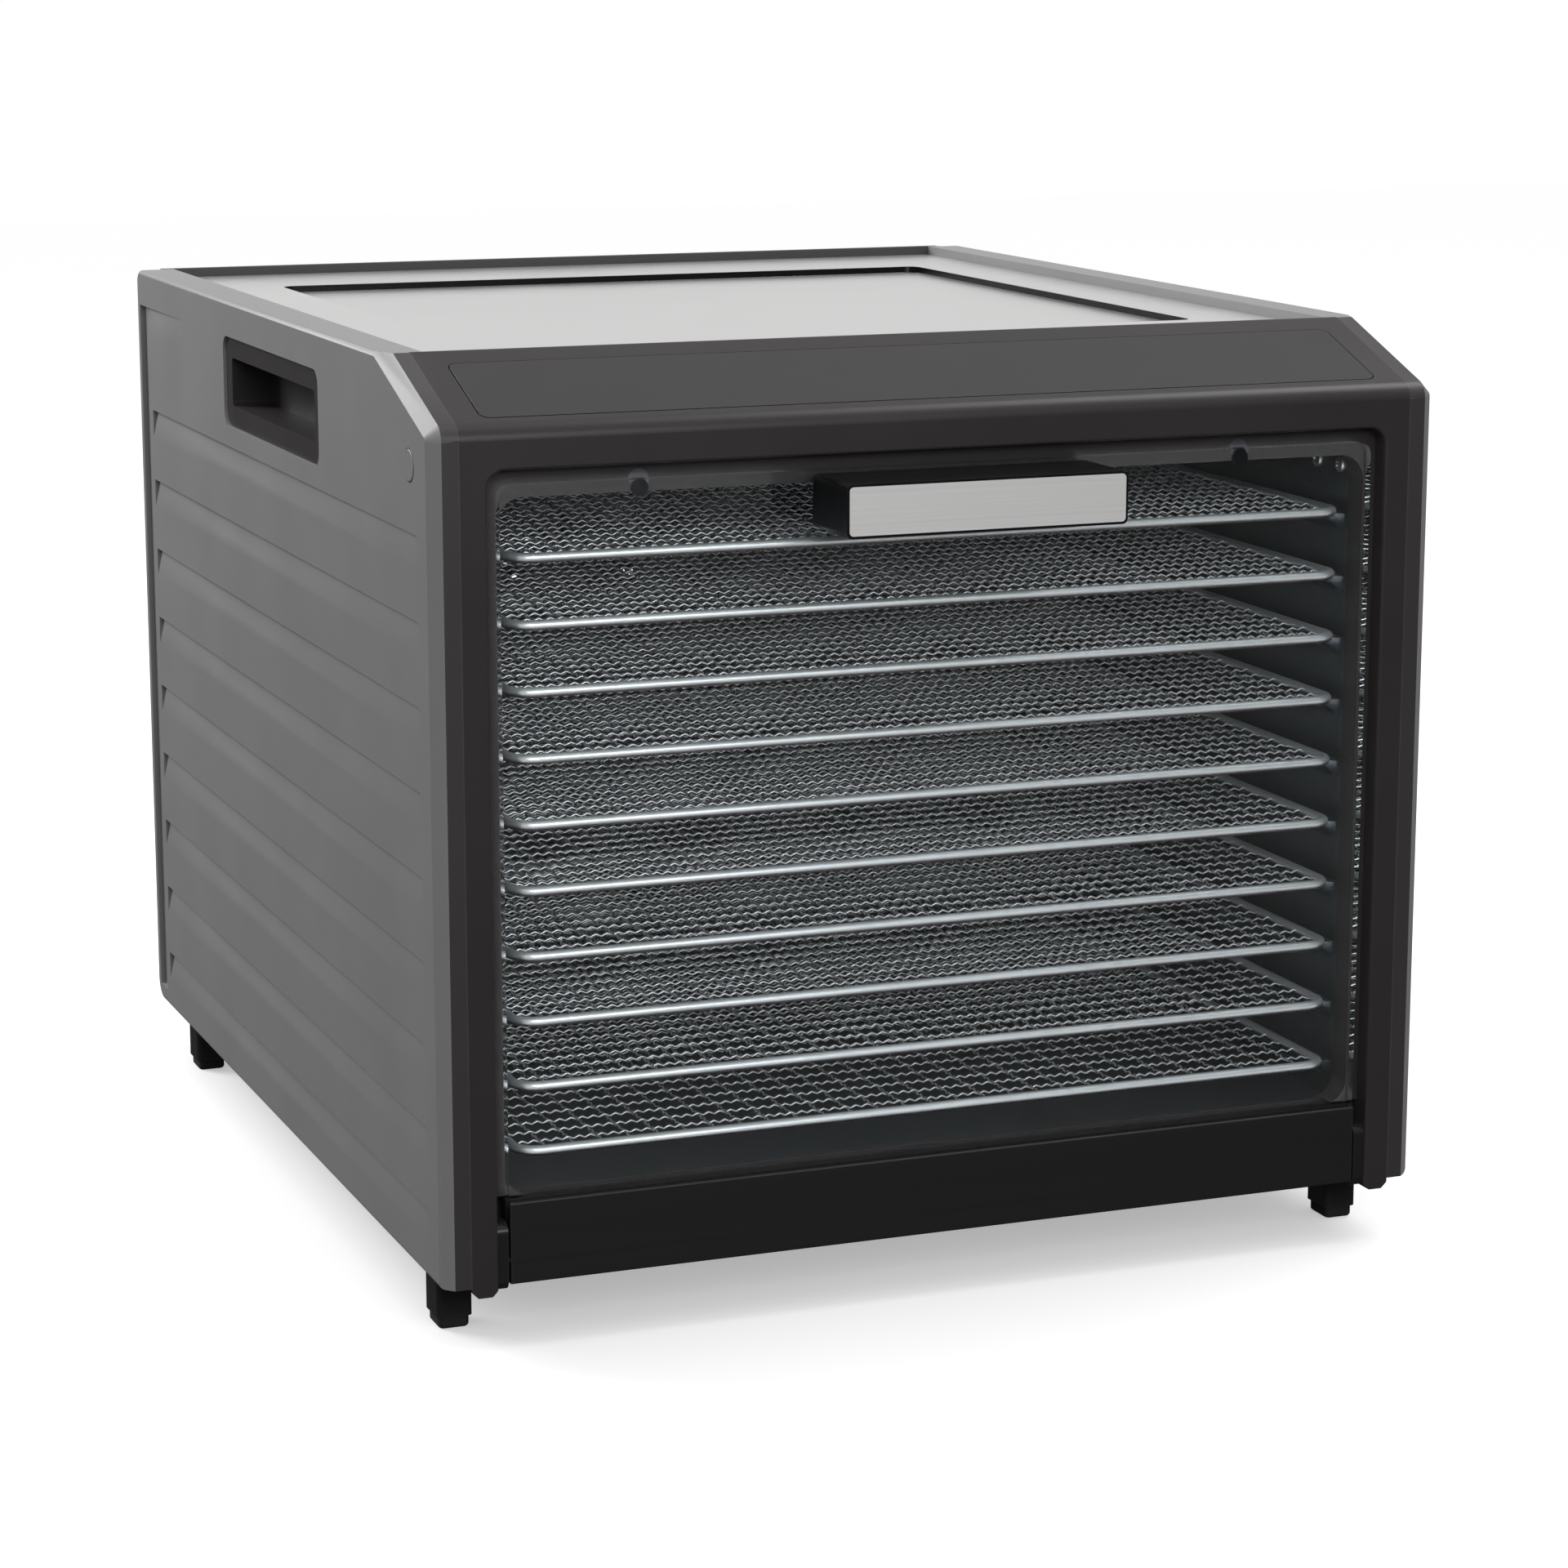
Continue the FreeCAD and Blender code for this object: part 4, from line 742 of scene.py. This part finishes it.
def build_tray_tree():
    """A bent rod rim with a sheet of crimped wires woven over and under each other."""
    nodes, given, result = open_shape_tree("woven_tray", [
        ("Width", "Float"), ("Depth", "Float"), ("Rod Radius", "Float"), ("Corner", "Float"),
        ("Wire Radius", "Float"), ("Crimp", "Float"), ("Cells Across", "Int"), ("Cells Deep", "Int"),
        ("Finish", "Material")])
    across = nodes.math("DIVIDE", given["Width"], given["Cells Across"])
    deep = nodes.math("DIVIDE", given["Depth"], given["Cells Deep"])
    waves_x = nodes.math("MULTIPLY", given["Cells Across"], WAVES_PER_CELL)
    waves_y = nodes.math("MULTIPLY", given["Cells Deep"], WAVES_PER_CELL)
    side_count = nodes.math("SUBTRACT", given["Cells Deep"], 1.0)
    deep_count = nodes.math("SUBTRACT", given["Cells Across"], 1.0)
    side_wires = crimped_wires(nodes, given, given["Width"], deep, side_count, waves_x, SIDE_WIRE_FACES, False)
    deep_wires = crimped_wires(nodes, given, given["Depth"], across, deep_count, waves_y, DEEP_WIRE_FACES, True)
    outline = nodes.add("GeometryNodeCurvePrimitiveQuadrilateral", {"Width": given["Width"],
                                                                    "Height": given["Depth"]})
    bent = nodes.add("GeometryNodeFilletCurve", {"Curve": outline.outputs[0], "Count": CORNER_POINTS,
                                                 "Radius": given["Corner"]}, mode="POLY")
    section = nodes.add("GeometryNodeCurvePrimitiveCircle", {"Resolution": RIM_FACES,
                                                             "Radius": given["Rod Radius"]})
    rim = nodes.add("GeometryNodeCurveToMesh", {"Curve": bent.outputs[0], "Profile Curve": section.outputs[0]})
    joined = nodes.add("GeometryNodeJoinGeometry")
    for part in (rim.outputs[0], deep_wires, side_wires):
        nodes.feed(joined.inputs[0], part)
    smooth = nodes.add("GeometryNodeSetShadeSmooth", {"Geometry": joined.outputs[0]})
    close_shape_tree(nodes, smooth.outputs[0], result, given["Finish"])
    return nodes.tree


def build_fastener_tree():
    """One fastener on each point, turned a little differently from the next."""
    nodes, given, result = open_shape_tree("fasteners", [("Fastener", "Object"), ("Heading", "Vector"),
                                                         ("Finish", "Material")])
    shape = nodes.add("GeometryNodeObjectInfo", {"Object": given["Fastener"]})
    turn = nodes.add("FunctionNodeRandomValue", {"Seed": 7}, data_type="FLOAT")
    nodes.feed(turn.inputs[3], math.pi)
    spin = nodes.add("FunctionNodeEulerToRotation", {0: nodes.xyz(Z=turn.outputs[1])})
    face = nodes.add("FunctionNodeEulerToRotation", {0: given["Heading"]})
    both = nodes.add("FunctionNodeRotateRotation", {0: face.outputs[0], 1: spin.outputs[0]},
                     rotation_space="LOCAL")
    placed = nodes.add("GeometryNodeInstanceOnPoints", {"Points": given["Geometry"],
                                                        "Instance": shape.outputs["Geometry"],
                                                        "Rotation": both.outputs[0]})
    close_shape_tree(nodes, placed.outputs[0], result, given["Finish"])
    return nodes.tree


# ---- cabinet ----
MOULDED_NODES = ["left_side_panel", "right_side_panel", "left_handle_pocket", "right_handle_pocket",
                 "side_screw_caps", "front_frame", "rear_cover", "power_inlet", "hinge_blocks"]
SHEET_NODES = ["top_cover", "base_pan", "control_panel"]
FEET = ["foot_front_left", "foot_front_right", "foot_rear_left", "foot_rear_right",
        "pad_front_left", "pad_front_right", "pad_rear_left", "pad_rear_right"]


class DEHYDRATOR_OT_finishes(bpy.types.Operator):
    """Build the shared node groups and one finish for each material slot, and paint the bare nodes"""
    bl_idname = "dehydrator.finishes"
    bl_label = "Finishes"

    def execute(self, context):
        for build in GROUPS:
            build()
        for finish in FINISHES.values():
            finish()
        for node, piece in frame["nodes"].items():
            piece.data.materials.clear()
            piece.data.materials.append(finish_of(SLOT_OF[node]))
        return {"FINISHED"}


class DEHYDRATOR_OT_cabinet(bpy.types.Operator):
    """Soften the edges of the cabinet's moulded and pressed pieces"""
    bl_idname = "dehydrator.cabinet"
    bl_label = "Cabinet"

    def execute(self, context):
        given = settings("cabinet")
        for node in MOULDED_NODES:
            soften(node, given.moulding_edge)
        for node in SHEET_NODES:
            soften(node, given.sheet_edge)
        for node in FEET:
            soften(node, given.moulding_edge)
        return {"FINISHED"}


# ---- drying chamber ----
RUNNER_GAP = 0.1 * MM           # between a tray's rim and the runner under it
RUNNER_TOP_FADE = 0.05 * MM     # height over which a runner's upper side turns into the wall
ABOVE_RUNNER = 0.6 * MM         # the wall's next row of points over a runner
LINER_SHEET = 0.9 * MM


def wall_point(side, wall_face, reach, levels, y, z, runner_front, runner_back, given):
    """A point of a liner wall: flat, with a swelling runner under each tray."""
    into = (y - runner_front) / given.runner_blend
    out_of = (runner_back - y) / given.runner_blend
    ends = smooth_step(min(into, out_of))
    swell = 0.0
    for top in levels:
        below = (top - z) / given.runner_rise
        if 0.0 <= below <= 1.0:
            swell = smooth_step(1.0 - below)
    return Vector((side * (wall_face - reach * swell * ends), y, z))


def smooth_step(share):
    share = min(1.0, max(0.0, share))
    return share * share * (3.0 - 2.0 * share)


def spaced(first, last, count):
    return [first + (last - first) * step / (count - 1) for step in range(count)]


def liner_wall(side, node):
    """One liner wall as a pressed sheet: the visible face with its runners, thickened outwards."""
    given = settings("chamber")
    low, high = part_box(node)
    wall_face = abs(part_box("rear_baffle")[1].x)
    reach = wall_face - min(abs(low.x), abs(high.x))
    levels = [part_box(tray)[0].z - RUNNER_GAP for tray in TRAYS]
    lip = low.y + 1.0 * MM
    front = low.y + given.runner_inset
    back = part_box(TRAYS[0])[1].y
    blend = given.runner_blend
    rows = sorted(set([low.y, lip] + spaced(front, front + blend, 7) + spaced(front + blend, back - blend, 9)
                      + spaced(back - blend, back, 7) + [high.y]))
    heights = {low.z, high.z}
    for top in levels:
        heights.update([top + ABOVE_RUNNER, top + RUNNER_TOP_FADE, top])
        heights.update(top - share * given.runner_rise for share in spaced(0.06, 1.0, 9))
    heights = sorted(heights)
    mesh = bpy.data.meshes.new(node + "_pressed")
    points = [wall_point(side, wall_face, reach, levels, y, z, front, back, given)
              for z in heights for y in rows]
    wide = len(rows)
    corners = [(row * wide + column, (row + 1) * wide + column)
               for row in range(len(heights) - 1) for column in range(wide - 1)]
    faces = [(below, below + 1, above + 1, above) for below, above in corners]
    if side < 0:
        faces = [tuple(reversed(face)) for face in faces]
    mesh.from_pydata(points, [], faces)
    mesh.flip_normals()
    piece = link_mesh(node + "_pressed", mesh)
    mesh.shade_smooth()
    wall = piece.modifiers.new("sheet", "SOLIDIFY")
    wall.thickness = LINER_SHEET
    wall.offset = -1.0
    piece.modifiers.new("shading", "WEIGHTED_NORMAL")
    piece = settle(piece)
    return seat(piece, "liner", "cabinet", node)


class DEHYDRATOR_OT_chamber(bpy.types.Operator):
    """Press the liner walls with their tray runners"""
    bl_idname = "dehydrator.chamber"
    bl_label = "Drying chamber"

    def execute(self, context):
        liner_wall(-1.0, "left_liner_wall")
        liner_wall(1.0, "right_liner_wall")
        soften("liner_floor", settings("cabinet").sheet_edge)
        soften("rear_baffle", settings("cabinet").sheet_edge, segments=1)
        return {"FINISHED"}


class DEHYDRATOR_OT_trays(bpy.types.Operator):
    """Weave the wire mesh of a tray and put one on every level"""
    bl_idname = "dehydrator.trays"
    bl_label = "Trays"

    def execute(self, context):
        given = settings("trays")
        low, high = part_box(TRAYS[0])
        rod = (high.z - low.z) / 2.0
        tree = build_tray_tree()
        pattern = grow("tray_pattern", tree, bpy.data.meshes.new("tray_seed"), {
            "Width": high.x - low.x - 2.0 * rod,
            "Depth": high.y - low.y - 2.0 * rod,
            "Rod Radius": rod,
            "Corner": given.corner,
            "Wire Radius": given.wire_radius,
            "Crimp": given.crimp,
            "Cells Across": given.cells_across,
            "Cells Deep": given.cells_deep,
            "Finish": finish_of("tray_wire"),
        })
        for tray in TRAYS:
            mesh = pattern.data.copy()
            mesh.transform(Matrix.Translation(middle(tray)))
            seat(link_mesh(tray + "_woven", mesh), "tray_wire", tray, tray)
        bpy.data.objects.remove(pattern)
        return {"FINISHED"}


# ---- door ----
class DEHYDRATOR_OT_door(bpy.types.Operator):
    """Soften the door's rail, handle and plate and polish the edges of its glass"""
    bl_idname = "dehydrator.door"
    bl_label = "Door"

    def execute(self, context):
        soften("door_glass", 0.5 * MM)
        soften("door_lower_rail", 0.4 * MM)
        soften("handle_grip", 0.6 * MM, segments=3)
        soften("handle_plate", 0.35 * MM, segments=3)
        return {"FINISHED"}


# ---- fasteners ----
SCREW_FACES = 24            # around a screw
SHANK_SHARE = 0.47          # a shank's radius as a share of its head's
RECESS_REACH = 0.42         # the cross recess: how far its arms reach and how wide they are,
RECESS_HALF_WIDTH = 0.11    # as shares of the head's radius
RECESS_TAPER = 0.75         # how much smaller it is at its floor
RECESS_FLOOR = 0.45         # and how high the floor lies in the head
HEAD_DOME = [(1.0, 0.35), (0.86, 0.78), (0.55, 1.0)]    # radius and height up the head, as shares
CREASE = math.radians(35.0)
REAR_SHANK = 3.9 * MM
LINER_SHANK = 0.4 * MM


def show_creases(mesh):
    mesh.shade_smooth()
    mesh.set_sharp_from_angle(angle=CREASE)


def cross_head_screw(name, radius, height, shank):
    """A pan-head screw along +Z: domed head over the origin, cross recess, plain shank below."""
    work = bmesh.new()
    around = SCREW_FACES
    rings = []
    recess = RECESS_REACH * radius
    slot = RECESS_HALF_WIDTH * radius
    shank_radius = SHANK_SHARE * radius
    profile = [(shank_radius, -shank), (shank_radius, 0.0), (radius, 0.0)]
    profile += [(wide * radius, up * height) for wide, up in HEAD_DOME]
    for reach, level in profile:
        rings.append([work.verts.new((reach * math.cos(2 * math.pi * step / around),
                                      reach * math.sin(2 * math.pi * step / around), level))
                      for step in range(around)])
    for lower, upper in zip(rings, rings[1:]):
        for step in range(around):
            after = (step + 1) % around
            work.faces.new((lower[step], lower[after], upper[after], upper[step]))
    work.faces.new(list(reversed(rings[0])))
    cross = []
    for arm in range(4):
        turn = math.pi / 2.0 * arm
        for along, across in ((slot, slot), (recess, slot), (recess, -slot)):
            cross.append((along * math.cos(turn) + across * math.sin(turn),
                          along * math.sin(turn) - across * math.cos(turn)))
    cross = sorted(cross, key=lambda point: math.atan2(point[1], point[0]))
    top = [work.verts.new((x, y, height)) for x, y in cross]
    deep = [work.verts.new((RECESS_TAPER * x, RECESS_TAPER * y, RECESS_FLOOR * height)) for x, y in cross]
    brim = rings[-1]
    rim_edges = [work.edges.get((brim[step], brim[(step + 1) % around])) for step in range(around)]
    count = len(top)
    top_edges = [work.edges.new((top[step], top[(step + 1) % count])) for step in range(count)]
    bmesh.ops.bridge_loops(work, edges=rim_edges + top_edges)
    for step in range(count):
        after = (step + 1) % count
        work.faces.new((top[step], top[after], deep[after], deep[step]))
    work.faces.new(deep)
    bmesh.ops.recalc_face_normals(work, faces=work.faces)
    mesh = bpy.data.meshes.new(name)
    work.to_mesh(mesh)
    work.free()
    show_creases(mesh)
    return link_mesh(name, mesh)


def solid_boxes(node):
    """The low and high corner of each separate solid of a node, in a fixed order."""
    work = bmesh.new()
    work.from_mesh(clean_copy(node))
    left = set(work.verts)
    found = []
    while left:
        stack = [left.pop()]
        solid = []
        while stack:
            vertex = stack.pop()
            solid.append(vertex.co.copy())
            for edge in vertex.link_edges:
                other = edge.other_vert(vertex)
                if other in left:
                    left.remove(other)
                    stack.append(other)
        low = Vector([min(point[axis] for point in solid) for axis in range(3)])
        high = Vector([max(point[axis] for point in solid) for axis in range(3)])
        found.append((low, high))
    work.free()
    return sorted(found, key=lambda box: (round(box[0].x, 4), round(box[0].z, 4), box[0].y))


def set_screws(name, tree, node, seats, heading, screw, body):
    """Screws on the given points, all facing one way, as one piece."""
    base = bpy.data.meshes.new(name + "_seats")
    base.from_pydata(seats, [], [])
    piece = grow(name, tree, base, {"Fastener": screw, "Heading": heading,
                                    "Finish": finish_of(SLOT_OF[node])})
    return seat(piece, SLOT_OF[node], body, node)


class DEHYDRATOR_OT_fasteners(bpy.types.Operator):
    """Set cross-head screws in the rear cover and the liner"""
    bl_idname = "dehydrator.fasteners"
    bl_label = "Fasteners"

    def execute(self, context):
        tree = build_fastener_tree()
        outer = solid_boxes("rear_screws")
        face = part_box("rear_cover")[1].y
        low, high = outer[0]
        radius = (high.x - low.x) / 2.0
        screw = cross_head_screw("rear_screw_shape", radius, high.y - face, REAR_SHANK)
        seats = [Vector(((a.x + b.x) / 2.0, face, (a.z + b.z) / 2.0)) for a, b in outer]
        backward = (-math.pi / 2.0, 0.0, 0.0)
        set_screws("rear_screws_cross", tree, "rear_screws", seats, backward, screw, "cabinet")
        bpy.data.objects.remove(screw)

        inner = solid_boxes("liner_screws")
        low, high = inner[0]
        radius = (high.z - low.z) / 2.0
        screw = cross_head_screw("liner_screw_shape", radius, high.x - low.x, LINER_SHANK)
        sides = []
        for side in (-1.0, 1.0):
            seats = [Vector((side * max(abs(a.x), abs(b.x)), (a.y + b.y) / 2.0, (a.z + b.z) / 2.0))
                     for a, b in inner if side * a.x > 0.0]
            base = bpy.data.meshes.new("liner_screw_seats")
            base.from_pydata(seats, [], [])
            sides.append(grow("liner_screws_side", tree, base, {
                "Fastener": screw, "Heading": (0.0, -side * math.pi / 2.0, 0.0),
                "Finish": finish_of("fastener")}))
        bpy.data.objects.remove(screw)
        work = bmesh.new()
        for piece in sides:
            work.from_mesh(piece.data)
            bpy.data.objects.remove(piece)
        mesh = bpy.data.meshes.new("liner_screws_cross")
        work.to_mesh(mesh)
        work.free()
        show_creases(mesh)
        seat(link_mesh("liner_screws_cross", mesh), "fastener", "cabinet", "liner_screws")
        return {"FINISHED"}


# ---- stage ----
CAMERA_YAW = 0.3710          # to the right of +Y, in radians
CAMERA_PITCH = 0.2048        # downwards
CAMERA_LENS = 94.90          # millimetres, on the sensor's width
SENSOR_WIDTH = 36.0
CAMERA_PLACE = Vector((-0.6338, -1.6734, 0.5373))
FLOOR_HALF = 6.0
# each soft lamp: its place, what it aims at, its width and height, and its power in watts
LAMPS = {
    "left_lamp": ((-1.3, 1.2, 1.1), (-0.2, 0.2, 0.35), (0.9, 0.9), 27.0),
    "overhead_lamp": ((1.3, -0.1, 1.9), (0.0, 0.0, 0.2), (1.2, 1.2), 18.0),
    "front_lamp": ((-0.2, -1.7, 0.8), (0.0, -0.2, 0.25), (1.0, 0.5), 9.5),
    "rear_card": ((0.6, 3.2, 1.2), (0.0, 0.0, 0.4), (3.4, 1.6), 9.5),
}


def place_camera():
    level = math.cos(CAMERA_PITCH)
    forward = Vector((math.sin(CAMERA_YAW) * level, math.cos(CAMERA_YAW) * level, -math.sin(CAMERA_PITCH)))
    right = Vector((math.cos(CAMERA_YAW), -math.sin(CAMERA_YAW), 0.0))
    up = right.cross(forward)
    turn = Matrix((right, up, -forward)).transposed().to_4x4()
    data = bpy.data.cameras.new("front_left_camera")
    data.lens = CAMERA_LENS
    data.sensor_width = SENSOR_WIDTH
    data.clip_end = 30.0
    camera = bpy.data.objects.new("front_left_camera", data)
    bpy.context.scene.collection.objects.link(camera)
    camera.matrix_world = Matrix.Translation(CAMERA_PLACE) @ turn
    bpy.context.scene.camera = camera


def soft_lamp(name, place, aim, size, power):
    data = bpy.data.lights.new(name, "AREA")
    data.shape = "RECTANGLE"
    data.size, data.size_y = size
    data.energy = power
    lamp = bpy.data.objects.new(name, data)
    bpy.context.scene.collection.objects.link(lamp)
    place = Vector(place)
    turn = (Vector(aim) - place).to_track_quat("-Z", "Y").to_matrix().to_4x4()
    lamp.matrix_world = Matrix.Translation(place) @ turn


def build_surroundings(given):
    """A white room that is brightest overhead, and dim where glossy pieces look at it."""
    world = bpy.data.worlds.new("surroundings")
    world.use_nodes = True
    world.node_tree.nodes.clear()
    nodes = Tree(world.node_tree)
    direction = nodes.add("ShaderNodeTexCoord").outputs["Generated"]
    height = nodes.add("ShaderNodeSeparateXYZ", {0: direction}).outputs["Z"]
    sky = nodes.add("ShaderNodeMapRange", {"Value": height, "From Min": -0.1, "From Max": 0.9,
                                           "To Min": given.horizon_light, "To Max": given.overhead_light})
    path = nodes.add("ShaderNodeLightPath")
    dimmed = nodes.math("SUBTRACT", 1.0, nodes.math("MULTIPLY", path.outputs["Is Glossy Ray"],
                                                    1.0 - given.glossy_share))
    lit = nodes.math("MULTIPLY", sky.outputs[0], dimmed)
    strength = nodes.add("ShaderNodeMix", {0: path.outputs["Is Camera Ray"], 2: lit, 3: 1.0}).outputs[0]
    background = nodes.add("ShaderNodeBackground", {"Color": rgba(given.sky_colour), "Strength": strength})
    nodes.add("ShaderNodeOutputWorld", {"Surface": background.outputs[0]})
    bpy.context.scene.world = world


class DEHYDRATOR_OT_stage(bpy.types.Operator):
    """Set the floor, the soft lamps and the camera"""
    bl_idname = "dehydrator.stage"
    bl_label = "Stage"

    def execute(self, context):
        given = settings("stage")
        mesh = bpy.data.meshes.new("floor")
        corners = [(-1, -1), (1, -1), (1, 1), (-1, 1)]
        mesh.from_pydata([(x * FLOOR_HALF, y * FLOOR_HALF, 0.0) for x, y in corners], [], [(0, 1, 2, 3)])
        floor = link_mesh("floor", mesh)
        nodes, shader, vector, _ = new_finish("floor_paper")
        tooth = nodes.noise(vector, 300.0)
        nodes.feed(shader.inputs["Base Color"], nodes.shades(tooth, given.floor_colour, 0.995, 1.005))
        shader.inputs["Roughness"].default_value = 0.9
        shader.inputs["Emission Color"].default_value = (1.0, 1.0, 1.0, 1.0)
        shader.inputs["Emission Strength"].default_value = given.floor_fill
        shader.inputs["Specular IOR Level"].default_value = 0.1
        mesh.materials.append(finish_of("floor_paper"))
        floor.visible_glossy = False
        floor.visible_diffuse = False
        build_surroundings(given)
        for name, lamp in LAMPS.items():
            soft_lamp(name, *lamp)
        context.scene.view_settings.view_transform = "Standard"
        place_camera()
        return {"FINISHED"}


# ---- add-on ----
OPERATORS = [DEHYDRATOR_OT_stage, DEHYDRATOR_OT_finishes, DEHYDRATOR_OT_cabinet, DEHYDRATOR_OT_chamber,
             DEHYDRATOR_OT_trays, DEHYDRATOR_OT_door, DEHYDRATOR_OT_fasteners]


class DEHYDRATOR_PT_looks(bpy.types.Panel):
    """Sizes, colours and pieces of the food dehydrator"""
    bl_label = "Food dehydrator"
    bl_idname = "DEHYDRATOR_PT_looks"
    bl_space_type = "VIEW_3D"
    bl_region_type = "UI"
    bl_category = "Dehydrator"

    def draw(self, context):
        for group, kind in SETTINGS.items():
            box = self.layout.box()
            box.label(text=group.capitalize())
            for name in kind.__annotations__:
                box.prop(getattr(context.scene, "dehydrator_" + group), name)
        for operator in OPERATORS:
            self.layout.operator(operator.bl_idname)


CLASSES = list(SETTINGS.values()) + OPERATORS + [DEHYDRATOR_PT_looks]


def register():
    for kind in CLASSES:
        bpy.utils.register_class(kind)
    for group, kind in SETTINGS.items():
        setattr(bpy.types.Scene, "dehydrator_" + group, PointerProperty(type=kind))


def unregister():
    for group in SETTINGS:
        delattr(bpy.types.Scene, "dehydrator_" + group)
    for kind in reversed(CLASSES):
        bpy.utils.unregister_class(kind)


def main():
    register()
    for operator in OPERATORS:
        group, name = operator.bl_idname.split(".")
        getattr(getattr(bpy.ops, group), name)()


if __name__ == "__main__":
    main()
